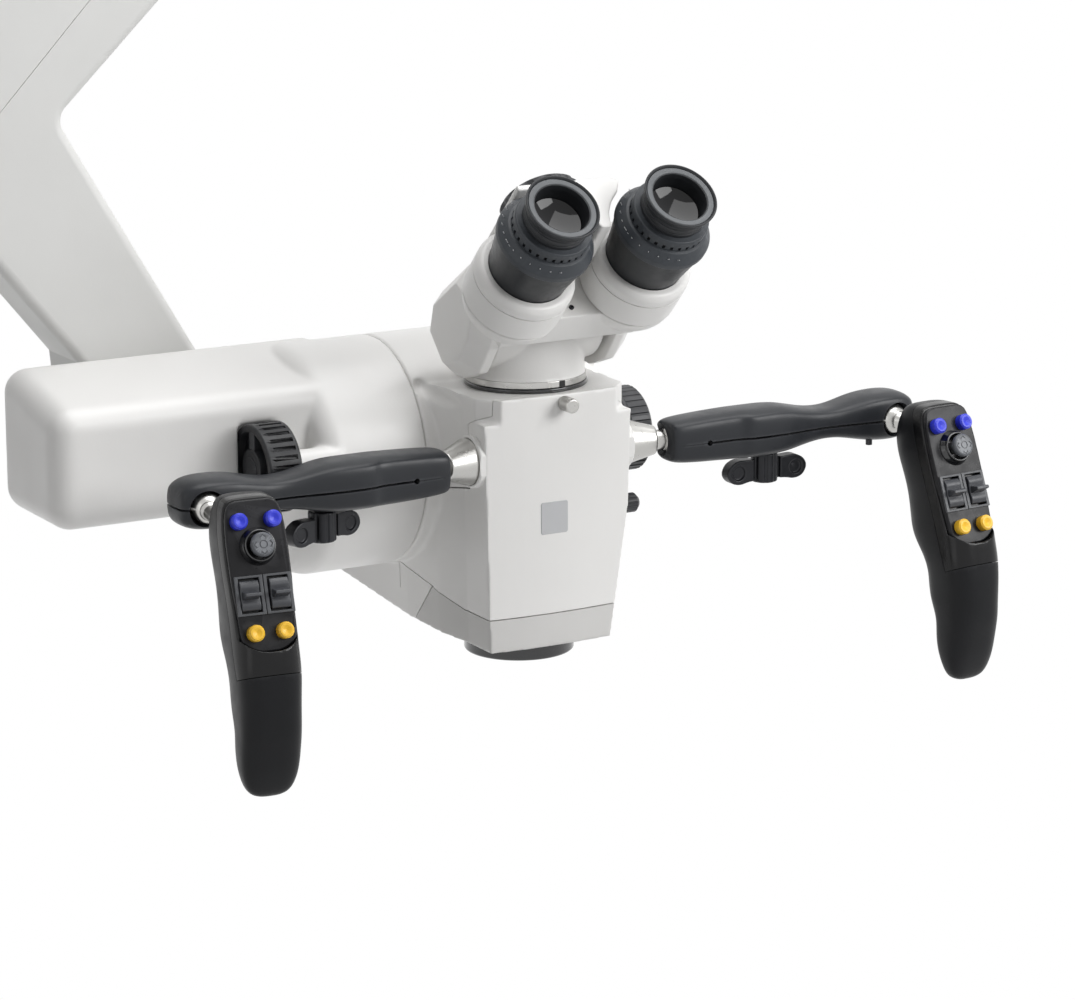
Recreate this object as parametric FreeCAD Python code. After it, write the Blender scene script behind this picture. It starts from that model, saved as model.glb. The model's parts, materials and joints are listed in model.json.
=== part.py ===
"""Head of an operating microscope on its bent carrier arm.

The head is laid out from its own datum: the centre of the round seat that the binocular tube
stands on, with X to the operator's right, -Y towards the operator and +Z up. All pieces are
moved at the end so that the origin lies on the stand mount, at the top of the yaw spindle.
"""
import FreeCAD, Part
import math
import os

V = FreeCAD.Vector
X_AXIS = V(1, 0, 0)
Y_AXIS = V(0, 1, 0)
Z_AXIS = V(0, 0, 1)

# Place of the head under its stand mount
HEAD_DROP = 380.0
OPTIC_AHEAD = 119.0

# Clearances
RUN_GAP = 0.06
BALL_GAP = 0.3
SEAM = 0.3
SLIDE_GAP = 0.3

# Stand spindle and the carrier arm's hub
SPINDLE_R = 15.0
FLANGE_R = 32.0
FLANGE_T = 8.0
FLANGE_BOLT_CIRCLE_R = 24.0
FLANGE_BOLT_R = 3.3
FLANGE_BOLTS = 4
HUB_R = 34.0
HUB_TOP = 368.0
HUB_BOTTOM = 292.0
HUB_FLOOR = 12.0
BEARING_R = 21.0
BEARING_T = 12.0
BEARING_SHOULDER = 3.0

# Carrier arm, a bent plate behind the head
ARM_FRONT = 97.0
ARM_T = 44.0
ARM_EDGE_R = 5.0
ARM_ELBOW_IN = (-206.5, 135.0)
ARM_ELBOW_IN_R = 9.0
ARM_ELBOW_OUT_R = 46.0
ARM_LOW_RIGHT = (-132.0, 8.0)
ARM_UPPER_SLOPE = math.radians(44.0)
ARM_UPPER_WIDTH = 84.0
ARM_KNEE_X = -150.0
ARM_TAPER = math.radians(4.5)
ARM_HUB_SIDE = 0.4 * HUB_R
ARM_LOW_LEFT = (-199.0, 12.0)
ARM_LEFT_SLOPE = math.radians(129.0)
SEAM_LOW = (-237.2, 140.7)
SEAM_HIGH = (-188.4, 192.4)
SEAM_LEFT_X = -300.0
SEAM_RIGHT_X = -58.0
SEAM_DEPTH = 12.0
FAR_LEFT_X = -420.0
FAR_TOP_Z = 460.0

# Lateral tilt pivot, along Y, behind the tilt housing
LATERAL_X = -163.0
LATERAL_Z = -18.0
LATERAL_PIN_R = 12.0
LATERAL_BOSS_R = 33.0
LATERAL_COLLAR_R = 22.0
LATERAL_PIN_IN = 22.0

# Tilt housing: a box and a drum side by side
BOX_LEFT = -246.0
BOX_FRONT = 20.0
BOX_BACK = 91.0
BOX_BOTTOM = -54.0
BOX_TOP_FRONT = 5.0
BOX_TOP_BACK = 19.5
BOX_EDGE_R = 12.0
BOX_WALL = 6.0
COVER_T = 3.0
DRUM_R = 58.5
DRUM_Y = 61.6
DRUM_Z = -40.5
DRUM_WIDTH = 58.0
DRUM_CLEAR = 3.5
DRUM_RIM_R = 12.0
TILT_SHAFT_R = 15.0
TILT_BEARING_R = 20.0
TILT_BEARING_T = 10.0
TILT_SHAFT_IN = 40.0

# Friction wheel, half sunk in the front of the tilt housing
FRICTION_R = 23.0
FRICTION_Y = 9.0
FRICTION_Z = -30.0
FRICTION_FROM_DRUM = 36.0
FRICTION_T = 18.0
FRICTION_RIBS = 30
RIB_FLANGE = 2.5
RIB_R = 1.0
DISH_OUTER_R = 19.0
DISH_INNER_R = 10.0
DISH_DEEP = 5.0
DISH_BAR_HALF = 3.0
FRICTION_PIN_R = 4.0
FRICTION_PIN_IN = 12.0
FRICTION_NECK_R = 7.0
FRICTION_HEAD_R = 6.0
FRICTION_HEAD_T = 2.0

# Microscope body
BODY_FRONT = -33.6
BODY_BOW = 2.1
BODY_HALF = 42.0
BODY_LEFT_LOW = 38.9
BODY_RIGHT_MID = 40.3
BODY_RIGHT_LOW = 29.8
BODY_MID_Z = -60.0
BODY_STRAIGHT = 23.0
BODY_FLARE = 5.6
BODY_FLARE_RUN = 20.0
BODY_WIDE = 50.5
BODY_WIDE_Y = 38.0
BODY_BACK = 121.0
BODY_BOTTOM = -128.1
BODY_BOTTOM_BACK = -117.0
BODY_WALL = 4.5
CORNER_NOTCH_HALF = 32.6
CORNER_NOTCH_Z = -12.0
CORNER_NOTCH_BACK = 12.0
COLLAR_Z = -110.8
COLLAR_BACK_TOP = 14.0
COLLAR_BACK_LOW = 34.0
COVER_SEAM_Y = -17.0
COVER_SEAM_Z = -47.0
COVER_BACK_Y = 46.0
BODY_SIDE_GAP = 0.4

# Objective under the body
OPTIC_Y = 8.0
OBJECTIVE_R = 28.0
OBJECTIVE_NECK_R = 26.0
OBJECTIVE_BOTTOM = -139.5
OBJECTIVE_TOP = -104.0
OBJECTIVE_BORE_R = 22.5
LENS_T = 8.0
LENS_RECESS = 7.0
LENS_TRAVEL = 5.0

# Magnification changer and its knob, and the small filter knob
DRUM_AXIS_Y = 11.0
DRUM_AXIS_Z = -33.0
MAG_DRUM_R = 19.0
MAG_DRUM_HALF = 28.0
MAG_SHAFT_R = 4.0
MAG_CHANNEL_R = 8.0
MAG_CHANNEL_X = 13.0
MAG_KNOB_R = 21.7
MAG_KNOB_CLEAR = 2.5
MAG_KNOB_T = 12.0
MAG_FLANGE_R = 22.8
MAG_FLANGE_T = 1.5
MAG_NECK_T = 1.0
MAG_NECK_R = 18.7
MAG_EDGE = 1.5
MAG_RIB_R = 0.8
MAG_RIBS = 36
FILTER_Y = -6.0
FILTER_Z = -68.0
FILTER_R = 5.0
FILTER_T = 11.0
FILTER_STEM_R = 2.5
FILTER_OUT = 8.0
FILTER_RIBS = 14

# Tube seat, tube and clamp screw
SEAT_R = 31.0
SEAT_T = 2.2
SEAT_BORE_R = 20.0
POCKET_R = 33.0
TUBE_RING_R = 30.0
TUBE_RING_T = 3.7
CLAMP_Z = -4.5
CLAMP_X = 2.0
CLAMP_STEM_R = 2.5
CLAMP_HEAD_R = 3.7
CLAMP_HEAD_T = 9.0
CLAMP_IN = 12.0
HINGE_Y = -5.0
HINGE_Z = 35.0
HINGE_BARREL_R = 24.0
CHEEK_IN = 33.0
CHEEK_OUT = 47.0
HINGE_PIN_R = 6.0
BASE_HALF = 30.0

# Eyepieces: the place of the two rims and the slope of their axes
EYE_HALF = 32.4
EYE_RIM_Y = -96.6
EYE_RIM_Z = 105.6
EYE_SLOPE = math.radians(45.5)
EYE_OUT = V(0, -math.cos(EYE_SLOPE), math.sin(EYE_SLOPE))
EYE_UP = V(0, math.sin(EYE_SLOPE), math.cos(EYE_SLOPE))
EYECUP_RIM_R = 18.65
EYECUP_R = 16.4
EYECUP_LIP = 3.0
EYECUP_L = 12.5
EYECUP_BORE_R = 13.5
GRIP_RING_R = 19.6
GRIP_RING_L = 6.5
SCALE_R = 24.4
SCALE_L = 8.5
SLEEVE_TOP_R = 23.6
SLEEVE_LOW_R = 19.6
SLEEVE_L = 24.0
SLEEVE_IN = 14.0
EYE_BORE_R = 14.0
OCULAR_R = 25.4
OCULAR_MOUTH = 50.0
OCULAR_END = 73.0
OCULAR_END_R = 20.0
PD_TRAVEL = 4.0
TONGUE_HALF_W = 14.0
TONGUE_HALF_T = 4.0
TONGUE_IN = 6.0

# Tube head and the eye distance knob on it
HEAD_BACK = 96.0
HEAD_LOW = -16.0
HEAD_HIGH = 24.0
HEAD_HALF = 36.0
ROOF_LOW = 26.0
ROOF_HIGH = 29.5
ROOF_LEFT = -31.0
ROOF_RIGHT = 18.0
ROOF_FRONT = 25.0
PD_KNOB_R = 21.0
PD_KNOB_T = 10.5
PD_KNOB_BACK = 49.0
PD_KNOB_X = -11.0
PD_KNOB_LIFT = 1.0
PD_STEM_R = 5.0
PD_FLUTES = 16

# Handles: chrome socket, ball studs, arm, wing knob
SOCKET_Y = -21.0
SOCKET_Z = -31.9
SOCKET_SPLAY = math.radians(15.0)
SOCKET_PROUD = 3.2
SOCKET_SEAT = 6.0
SOCKET_BOSS_R = 14.0
SOCKET_R = 12.3
SOCKET_END_R = 7.3
SOCKET_L = 15.5
STUD_R = 5.0
BALL_R = 8.0
BALL_REACH = 26.0
STUD_IN = 13.0
ARM_AXIS_AHEAD = 2.771
ARM_AXIS_LOWER = 0.1
OUTER_FROM_INNER = V(123.386, -10.771, -1.1)
OUTER_STUD_R = 3.3
SLIT_FROM_BALL = 12.686
SLIT_T = 1.2
SLIT_HOLE_R = 1.5
WING_FROM_BALL = 55.686
WING_BEHIND = 3.729
WING_STEM_R = 4.0
WING_BODY_R = 7.0
WING_TOP_DROP = 13.7
WING_DROP = 29.1
WING_LOBE_R = 6.5
WING_REACH = 17.0
WING_T = 7.0
WING_HALF_T = 3.4
WING_WEB_HALF = 2.6
WING_DIMPLE_R = 3.9
WING_TURN = (("right", 0.0), ("left", 20.0))

# Grips with their panels and controls, upright under the ball before they are turned out
GRIP_FROM_BALL = -5.1
GRIP_TURN_OUT = 5.5
GRIP_LEAN = (("right", -1.0), ("left", 1.0))
GRIP_STUD_RUN = V(2.7, -23.5, -0.8)
STUD_REACH = 36.0
PANEL_LEAN = math.radians(20.5)
PANEL_TOP_AHEAD = 48.7
PANEL_TOP_RISE = 16.0
PANEL_LENGTH = 72.0
PANEL_END_R = 14.0
PANEL_END_FLAT = 2.0
PANEL_T = 2.6
POCKET_DEEP = 9.0
BUTTON_R = 3.9
BUTTON_OUT = 4.4
BUTTON_IN = 6.2
BLUE_SPREAD = 8.3
BLUE_DOWN = 10.8
YELLOW_SPREAD = 7.2
YELLOW_DOWN = 63.0
JOYSTICK_DOWN = 22.8
JOYSTICK_PIVOT = 7.0
JOYSTICK_BALL_R = 4.2
JOYSTICK_STEM_R = 3.0
JOYSTICK_R = 5.8
JOYSTICK_UNDER = 5.6
JOYSTICK_OUT = 8.6
COLLAR_FOOT_R = 8.8
COLLAR_TOP_R = 7.4
COLLAR_BORE_R = 6.2
COLLAR_OUT = 3.8
ROCKER_DOWN = 45.3
ROCKER_SPREAD = 7.3
ROCKER_HALF_W = 4.8
ROCKER_HALF_H = 7.2
ROCKER_OUT = 1.8
ROCKER_PIVOT = 2.0
ROCKER_PIN_R = 1.5
ROCKER_PIN_HALF = 6.2
ROCKER_PLAY = 1.2
TAB_OUT = 7.0
TAB_HALF_T = 1.3
BEZEL_HALF_W = 6.9
BEZEL_HALF_H = 9.3
BEZEL_OUT = 1.0
TRIGGER_DROP = 33.0
TRIGGER_W = 11.0
TRIGGER_H = 15.0
TRIGGER_AHEAD = 29.5
TRIGGER_T = 8.0
TRIGGER_ROOM = 2.5

# How far a cutting block reaches past what it cuts
CUT_PAST = 20.0
SIDE_PAST = 5.0

# Places that follow from the sizes above
DRUM_RIGHT = -(BODY_WIDE + DRUM_CLEAR)
DRUM_LEFT = DRUM_RIGHT - DRUM_WIDTH
FRICTION_LEFT = DRUM_LEFT - FRICTION_FROM_DRUM
MAG_KNOB_X = MAG_KNOB_CLEAR - DRUM_RIGHT
SOCKET_DIR = V(math.cos(SOCKET_SPLAY), -math.sin(SOCKET_SPLAY), 0)
SOCKET_BASE = V(BODY_HALF + SOCKET_PROUD, SOCKET_Y, SOCKET_Z)
INNER_BALL = SOCKET_BASE + SOCKET_DIR * BALL_REACH
OUTER_BALL = INNER_BALL + OUTER_FROM_INNER
ARM_AXIS_Y = INNER_BALL.y - ARM_AXIS_AHEAD
ARM_AXIS_Z = INNER_BALL.z - ARM_AXIS_LOWER
SLIT_X = INNER_BALL.x + SLIT_FROM_BALL
WING_X = INNER_BALL.x + WING_FROM_BALL
WING_Y = INNER_BALL.y + WING_BEHIND
WING_TOP = INNER_BALL.z - WING_TOP_DROP
WING_BOTTOM = INNER_BALL.z - WING_DROP
GRIP_X = OUTER_BALL.x + GRIP_FROM_BALL
GRIP_DIR = V(GRIP_STUD_RUN).normalize()
PANEL_TOP_Y = OUTER_BALL.y - PANEL_TOP_AHEAD
PANEL_TOP_Z = OUTER_BALL.z + PANEL_TOP_RISE
TRIGGER_Z = OUTER_BALL.z - TRIGGER_DROP
TRIGGER_BACK = OUTER_BALL.y - TRIGGER_AHEAD
TRIGGER_FRONT = TRIGGER_BACK - TRIGGER_T


def box(x0, x1, y0, y1, z0, z1):
    return Part.makeBox(x1 - x0, y1 - y0, z1 - z0, V(x0, y0, z0))


def rod(start, direction, radius, length):
    return Part.makeCylinder(radius, length, start, direction)


def ring(start, direction, outer, inner, length):
    return rod(start, direction, outer, length).cut(rod(start, direction, inner, length))


def frustum(start, direction, radius_0, radius_1, length):
    return Part.makeCone(radius_0, radius_1, length, start, direction)


def face_of(points):
    return Part.Face(Part.makePolygon(points + [points[0]]))


def side_plate(outline, x0, x1):
    """A prism along X from an outline of (y, z) points."""
    return face_of([V(x0, y, z) for y, z in outline]).extrude(V(x1 - x0, 0, 0))


def front_plate(outline, y0, y1):
    """A prism along Y from an outline of (x, z) points."""
    return face_of([V(x, y0, z) for x, z in outline]).extrude(V(0, y1 - y0, 0))


def plan_plate(outline, z0, z1):
    """A prism along Z from an outline of (x, y) points."""
    return face_of([V(x, y, z0) for x, y in outline]).extrude(V(0, 0, z1 - z0))


def placed(shape, origin, direction):
    """Stand a shape made along +Z at the origin along another direction."""
    turned_shape = shape.copy()
    turned_shape.Placement = FreeCAD.Placement(origin, FreeCAD.Rotation(Z_AXIS, direction))
    return turned_shape


def turned(profile, origin, direction):
    """A solid of revolution from (distance along the axis, radius) points."""
    points = [V(radius, 0, along) for along, radius in profile]
    solid = face_of(points).revolve(V(0, 0, 0), Z_AXIS, 360)
    return placed(solid, origin, direction)


def fused(*shapes):
    return shapes[0].multiFuse(list(shapes[1:])).removeSplitter()


def along_x(edge):
    start, end = edge.Vertexes[0].Point, edge.Vertexes[-1].Point
    span = end - start
    return len(edge.Vertexes) == 2 and abs(span.x) > 0.99 * span.Length


def rounded(shape, radius, wanted):
    return shape.makeFillet(radius, [edge for edge in shape.Edges if wanted(edge)])


def grooves(origin, direction, radius, length, count, groove_r):
    """Round grooves spaced evenly on a rim, to be cut from a wheel."""
    flutes = []
    for index in range(count):
        turn = 2 * math.pi * index / count
        spot = V(radius * math.cos(turn), radius * math.sin(turn), 0)
        flutes.append(Part.makeCylinder(groove_r, length, spot, Z_AXIS))
    return placed(Part.makeCompound(flutes), origin, direction)


def mirrored(shape):
    return shape.mirror(V(0, 0, 0), X_AXIS)


def on_eye(x, back, up):
    """A point in the eyepieces' frame: back from the rims, and up from the axes."""
    return V(x, EYE_RIM_Y, EYE_RIM_Z) - EYE_OUT * back + EYE_UP * up


# Stand spindle and carrier arm

SPINDLE_AXIS_Y = OPTIC_AHEAD
ARM_BACK = ARM_FRONT + ARM_T


def stand_spindle():
    flange_under = HEAD_DROP - FLANGE_T
    shaft_bottom = HUB_BOTTOM + HUB_FLOOR
    flange = rod(V(0, SPINDLE_AXIS_Y, flange_under), Z_AXIS, FLANGE_R, FLANGE_T)
    shaft = rod(V(0, SPINDLE_AXIS_Y, shaft_bottom), Z_AXIS, SPINDLE_R, flange_under - shaft_bottom)
    shoulder_z = HUB_TOP + SLIDE_GAP
    shoulder = rod(V(0, SPINDLE_AXIS_Y, shoulder_z), Z_AXIS, BEARING_R, flange_under - shoulder_z)
    holes = []
    for index in range(FLANGE_BOLTS):
        turn = math.radians(45 + 360 / FLANGE_BOLTS * index)
        spot = V(FLANGE_BOLT_CIRCLE_R * math.cos(turn),
                 SPINDLE_AXIS_Y + FLANGE_BOLT_CIRCLE_R * math.sin(turn), flange_under)
        holes.append(rod(spot, Z_AXIS, FLANGE_BOLT_R, FLANGE_T))
    return fused(flange, shaft, shoulder).cut(Part.makeCompound(holes))


def meet(point_a, slope_a, point_b, slope_b):
    """Where two lines cross, each given by a point and its slope angle."""
    ax, ay = math.cos(slope_a), math.sin(slope_a)
    bx, by = math.cos(slope_b), math.sin(slope_b)
    run = ((point_b[0] - point_a[0]) * by - (point_b[1] - point_a[1]) * bx) / (ax * by - ay * bx)
    return (point_a[0] + run * ax, point_a[1] + run * ay)


def arm_outline():
    """The bent arm's outline, from the hub round the elbow to the lateral pivot and back."""
    inner = ARM_ELBOW_IN
    hub_inner = (-ARM_HUB_SIDE, inner[1] + (-ARM_HUB_SIDE - inner[0]) * math.tan(ARM_UPPER_SLOPE))
    outer_start = (inner[0] - ARM_UPPER_WIDTH * math.sin(ARM_UPPER_SLOPE),
                   inner[1] + ARM_UPPER_WIDTH * math.cos(ARM_UPPER_SLOPE))
    outer_slope = ARM_UPPER_SLOPE - ARM_TAPER
    knee = meet(outer_start, outer_slope, (ARM_KNEE_X, 0), math.pi / 2)
    hub_outer = (-ARM_HUB_SIDE, HUB_TOP - ARM_EDGE_R)
    elbow_outer = meet(outer_start, outer_slope, ARM_LOW_LEFT, ARM_LEFT_SLOPE)
    low_end_z = LATERAL_Z
    low_left = (LATERAL_X - LATERAL_BOSS_R, low_end_z)
    low_right = (LATERAL_X + LATERAL_BOSS_R, low_end_z)
    return [hub_inner, inner, ARM_LOW_RIGHT, low_right, low_left, ARM_LOW_LEFT, elbow_outer, knee,
            hub_outer]


def near_xz(edge, spot):
    start, end = edge.Vertexes[0].Point, edge.Vertexes[-1].Point
    upright = abs(start.x - end.x) < 0.01 and abs(start.z - end.z) < 0.01
    return upright and math.hypot(start.x - spot[0], start.z - spot[1]) < 0.5


def whole_arm():
    outline = arm_outline()
    plate = front_plate(outline, ARM_FRONT, ARM_BACK)
    plate = rounded(plate, ARM_ELBOW_IN_R, lambda edge: near_xz(edge, outline[1]))
    plate = rounded(plate, ARM_ELBOW_OUT_R, lambda edge: near_xz(edge, outline[6]))
    foot = rod(V(LATERAL_X, ARM_FRONT, LATERAL_Z), Y_AXIS, LATERAL_BOSS_R, ARM_T)
    plate = fused(plate, foot)
    rims = [edge for edge in plate.Edges
            if abs(edge.BoundBox.YLength) < 0.01 and edge.BoundBox.XMax < -HUB_R]
    plate = plate.makeFillet(ARM_EDGE_R, rims)
    hub = rod(V(0, SPINDLE_AXIS_Y, HUB_BOTTOM), Z_AXIS, HUB_R, HUB_TOP - HUB_BOTTOM)
    return fused(plate, hub)


def spine_region(widen):
    """The strip along the arm's outer side that carries the cable cover."""
    slope = (SEAM_HIGH[1] - SEAM_LOW[1]) / (SEAM_HIGH[0] - SEAM_LOW[0])
    low_z = SEAM_LOW[1] + slope * (SEAM_LEFT_X - SEAM_LOW[0]) - widen
    high_x = SEAM_RIGHT_X + widen
    high_z = SEAM_LOW[1] + slope * (SEAM_RIGHT_X - SEAM_LOW[0]) - widen
    return front_plate([(SEAM_LEFT_X, low_z), (high_x, high_z), (high_x, FAR_TOP_Z), (FAR_LEFT_X, FAR_TOP_Z),
                        (FAR_LEFT_X, low_z)], ARM_FRONT - 1.0, ARM_FRONT + SEAM_DEPTH + widen)


def arm_bores():
    hub_axis = V(0, SPINDLE_AXIS_Y, HUB_BOTTOM + HUB_FLOOR)
    shaft_run = rod(hub_axis - Z_AXIS * SLIDE_GAP, Z_AXIS, SPINDLE_R + 1.0, HUB_TOP)
    bearing_seats = Part.makeCompound([
        rod(V(0, SPINDLE_AXIS_Y, HUB_TOP - BEARING_T - BEARING_SHOULDER), Z_AXIS, BEARING_R,
            BEARING_T + BEARING_SHOULDER),
        rod(hub_axis - Z_AXIS * SLIDE_GAP, Z_AXIS, BEARING_R, BEARING_T + SLIDE_GAP)])
    pivot = rod(V(LATERAL_X, ARM_FRONT, LATERAL_Z), Y_AXIS, LATERAL_PIN_R + RUN_GAP, ARM_T)
    return [shaft_run, bearing_seats, pivot]


def yaw_bearings():
    lower = V(0, SPINDLE_AXIS_Y, HUB_BOTTOM + HUB_FLOOR)
    upper = V(0, SPINDLE_AXIS_Y, HUB_TOP - BEARING_T - BEARING_SHOULDER)
    bore = SPINDLE_R + RUN_GAP
    return Part.makeCompound([ring(spot, Z_AXIS, BEARING_R, bore, BEARING_T) for spot in (lower, upper)])


def carrier_arm(whole):
    return whole.cut(spine_region(SEAM)).cut(arm_bores()[0]).cut(arm_bores()[1]).cut(arm_bores()[2])


def arm_spine_cover(whole):
    return whole.common(spine_region(0.0))


# Tilt housing

def tilt_housing_body():
    profile = [(BOX_FRONT, BOX_BOTTOM), (BOX_BACK, BOX_BOTTOM), (BOX_BACK, BOX_TOP_BACK),
               (BOX_FRONT, BOX_TOP_FRONT)]
    inside_drum = (DRUM_LEFT + DRUM_RIGHT) / 2
    arm_box = side_plate(profile, BOX_LEFT, inside_drum)
    edges = lambda edge: along_x(edge) or edge.BoundBox.XMax < BOX_LEFT + 1
    arm_box = rounded(arm_box, BOX_EDGE_R, edges)
    drum = rod(V(DRUM_LEFT, DRUM_Y, DRUM_Z), X_AXIS, DRUM_R, DRUM_RIGHT - DRUM_LEFT)
    drum = rounded(drum, DRUM_RIM_R, lambda edge: edge.BoundBox.XMax < DRUM_LEFT + 1)
    return fused(arm_box, drum)


def cover_opening(shrink):
    inset = BOX_WALL + BOX_EDGE_R
    return box(BOX_LEFT + inset + shrink, DRUM_LEFT - BOX_EDGE_R - shrink,
               BOX_FRONT + inset + shrink, BOX_BACK - inset - shrink, BOX_BOTTOM, BOX_BOTTOM + COVER_T)


def friction_axle():
    """The fixed axle that the friction wheel turns on, with its head in the wheel's hub."""
    head_x = FRICTION_LEFT + SLIDE_GAP
    root_x = DRUM_LEFT + FRICTION_PIN_IN
    pin = rod(V(head_x, FRICTION_Y, FRICTION_Z), X_AXIS, FRICTION_PIN_R, root_x - head_x)
    head = rod(V(head_x, FRICTION_Y, FRICTION_Z), X_AXIS, FRICTION_HEAD_R, FRICTION_HEAD_T)
    neck_x = FRICTION_LEFT + FRICTION_T + SLIDE_GAP
    neck = rod(V(neck_x, FRICTION_Y, FRICTION_Z), X_AXIS, FRICTION_NECK_R, root_x - neck_x)
    return fused(pin, head, neck)


def tilt_housing():
    solid = tilt_housing_body()
    inset = BOX_WALL + BOX_EDGE_R
    hollow = box(BOX_LEFT + inset + COVER_T, DRUM_LEFT - BOX_EDGE_R - COVER_T, BOX_FRONT + inset + COVER_T,
                 BOX_BACK - LATERAL_PIN_IN - BOX_WALL, BOX_BOTTOM, BOX_TOP_FRONT - BOX_EDGE_R - BOX_WALL)
    bore_in = TILT_SHAFT_IN + BOX_WALL
    bore = rod(V(DRUM_RIGHT - bore_in, DRUM_Y, DRUM_Z), X_AXIS, TILT_BEARING_R, bore_in)
    pin_seat = rod(V(LATERAL_X, BOX_BACK - LATERAL_PIN_IN, LATERAL_Z), Y_AXIS, LATERAL_PIN_R, LATERAL_PIN_IN)
    wheel_slot = rod(V(FRICTION_LEFT - 1.0, FRICTION_Y, FRICTION_Z), X_AXIS, FRICTION_R + 1.0, FRICTION_T + 2.0)
    solid = solid.cut(hollow).cut(cover_opening(0.0)).cut(bore).cut(pin_seat).cut(wheel_slot)
    return fused(solid, friction_axle())


def tilt_housing_cover():
    return cover_opening(0.1)


def tilt_bearings():
    bore = TILT_SHAFT_R + RUN_GAP
    near = V(DRUM_RIGHT - TILT_BEARING_T, DRUM_Y, DRUM_Z)
    far = V(DRUM_RIGHT - TILT_SHAFT_IN, DRUM_Y, DRUM_Z)
    return Part.makeCompound([ring(spot, X_AXIS, TILT_BEARING_R, bore, TILT_BEARING_T) for spot in (near, far)])


def lateral_pin():
    start = V(LATERAL_X, BOX_BACK - LATERAL_PIN_IN, LATERAL_Z)
    pin = rod(start, Y_AXIS, LATERAL_PIN_R, ARM_BACK - start.y - 2.0)
    collar = rod(V(LATERAL_X, BOX_BACK, LATERAL_Z), Y_AXIS, LATERAL_COLLAR_R, ARM_FRONT - BOX_BACK - SLIDE_GAP)
    return fused(pin, collar)


def friction_knob():
    start = V(FRICTION_LEFT, FRICTION_Y, FRICTION_Z)
    wheel = rod(start, X_AXIS, FRICTION_R, FRICTION_T)
    wheel = wheel.cut(grooves(start, X_AXIS, FRICTION_R, FRICTION_T - RIB_FLANGE, FRICTION_RIBS, RIB_R))
    dish = ring(start, X_AXIS, DISH_OUTER_R, DISH_INNER_R, DISH_DEEP)
    bar = box(start.x - 1, start.x + DISH_DEEP + 1, start.y - FRICTION_R, start.y + FRICTION_R,
              start.z - DISH_BAR_HALF, start.z + DISH_BAR_HALF)
    bore = rod(start, X_AXIS, FRICTION_PIN_R + RUN_GAP, FRICTION_T)
    head_room = rod(start, X_AXIS, FRICTION_HEAD_R + SLIDE_GAP, FRICTION_HEAD_T + 2 * SLIDE_GAP)
    return wheel.cut(dish.cut(bar)).cut(bore).cut(head_room)


# Microscope body

def body_plan(left_half, right_half, z):
    """The body's plan: a bowed front, straight cheeks, flared sides and a flat back."""
    straight_end = BODY_FRONT + BODY_STRAIGHT
    flare_end = straight_end + BODY_FLARE_RUN
    sides = []
    for half in (right_half, left_half):
        wide = BODY_WIDE - BODY_HALF + half
        sides.append([V(half, BODY_FRONT, z), V(half, straight_end, z), V(half + BODY_FLARE, flare_end, z),
                      V(wide, BODY_WIDE_Y, z), V(wide, BODY_BACK, z)])
    right = sides[0]
    left = [V(-point.x, point.y, z) for point in reversed(sides[1])]
    bow = Part.Arc(left[-1], V((right_half - left_half) / 2, BODY_FRONT - BODY_BOW, z), right[0]).toShape()
    outline = right + left
    return Part.Wire([bow] + [Part.LineSegment(a, b).toShape() for a, b in zip(outline, outline[1:])])


def body_outside():
    left_mid = BODY_HALF + (BODY_LEFT_LOW - BODY_HALF) * BODY_MID_Z / BODY_BOTTOM
    block = Part.makeLoft([body_plan(BODY_LEFT_LOW, BODY_RIGHT_LOW, BODY_BOTTOM),
                           body_plan(left_mid, BODY_RIGHT_MID, BODY_MID_Z),
                           body_plan(BODY_HALF, BODY_HALF, 0.0)], True, True)
    front_clear = BODY_FRONT - CUT_PAST
    keep = side_plate([(front_clear, 0.0), (DRUM_Y, 0.0), (DRUM_Y + DRUM_R, DRUM_Z),
                       (BODY_BACK, DRUM_Z - 12), (BODY_BACK, BODY_BOTTOM_BACK),
                       (BODY_FRONT + BODY_STRAIGHT, BODY_BOTTOM), (front_clear, BODY_BOTTOM)],
                      -BODY_WIDE - SIDE_PAST, BODY_WIDE + SIDE_PAST)
    left_face = DRUM_RIGHT + BODY_SIDE_GAP
    drum = rod(V(left_face, DRUM_Y, DRUM_Z), X_AXIS, DRUM_R, -2 * left_face)
    solid = fused(block.common(keep), drum)
    notches = []
    for side in (-1, 1):
        notches.append(plan_plate([(side * CORNER_NOTCH_HALF, BODY_FRONT - 5),
                                   (side * CORNER_NOTCH_HALF, BODY_FRONT - 0.4),
                                   (side * (BODY_HALF + 1), BODY_FRONT + CORNER_NOTCH_BACK),
                                   (side * (BODY_HALF + 1), BODY_FRONT - 5)],
                                  CORNER_NOTCH_Z, 1.0))
    pocket = rod(V(0, 0, 0), Z_AXIS, POCKET_R, DRUM_R)
    return solid.cut(Part.makeCompound(notches)).cut(pocket)


def body_hollow():
    wall = BODY_WALL
    front, back = BODY_FRONT + wall, BODY_WIDE_Y + wall
    upper = box(-BODY_LEFT_LOW + wall, BODY_RIGHT_MID - wall, front, back, BODY_MID_Z, -2 * wall)
    lower = box(-BODY_LEFT_LOW + wall, BODY_RIGHT_LOW - wall, front, back, BODY_BOTTOM + wall, BODY_MID_Z)
    return fused(upper, lower)


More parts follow.
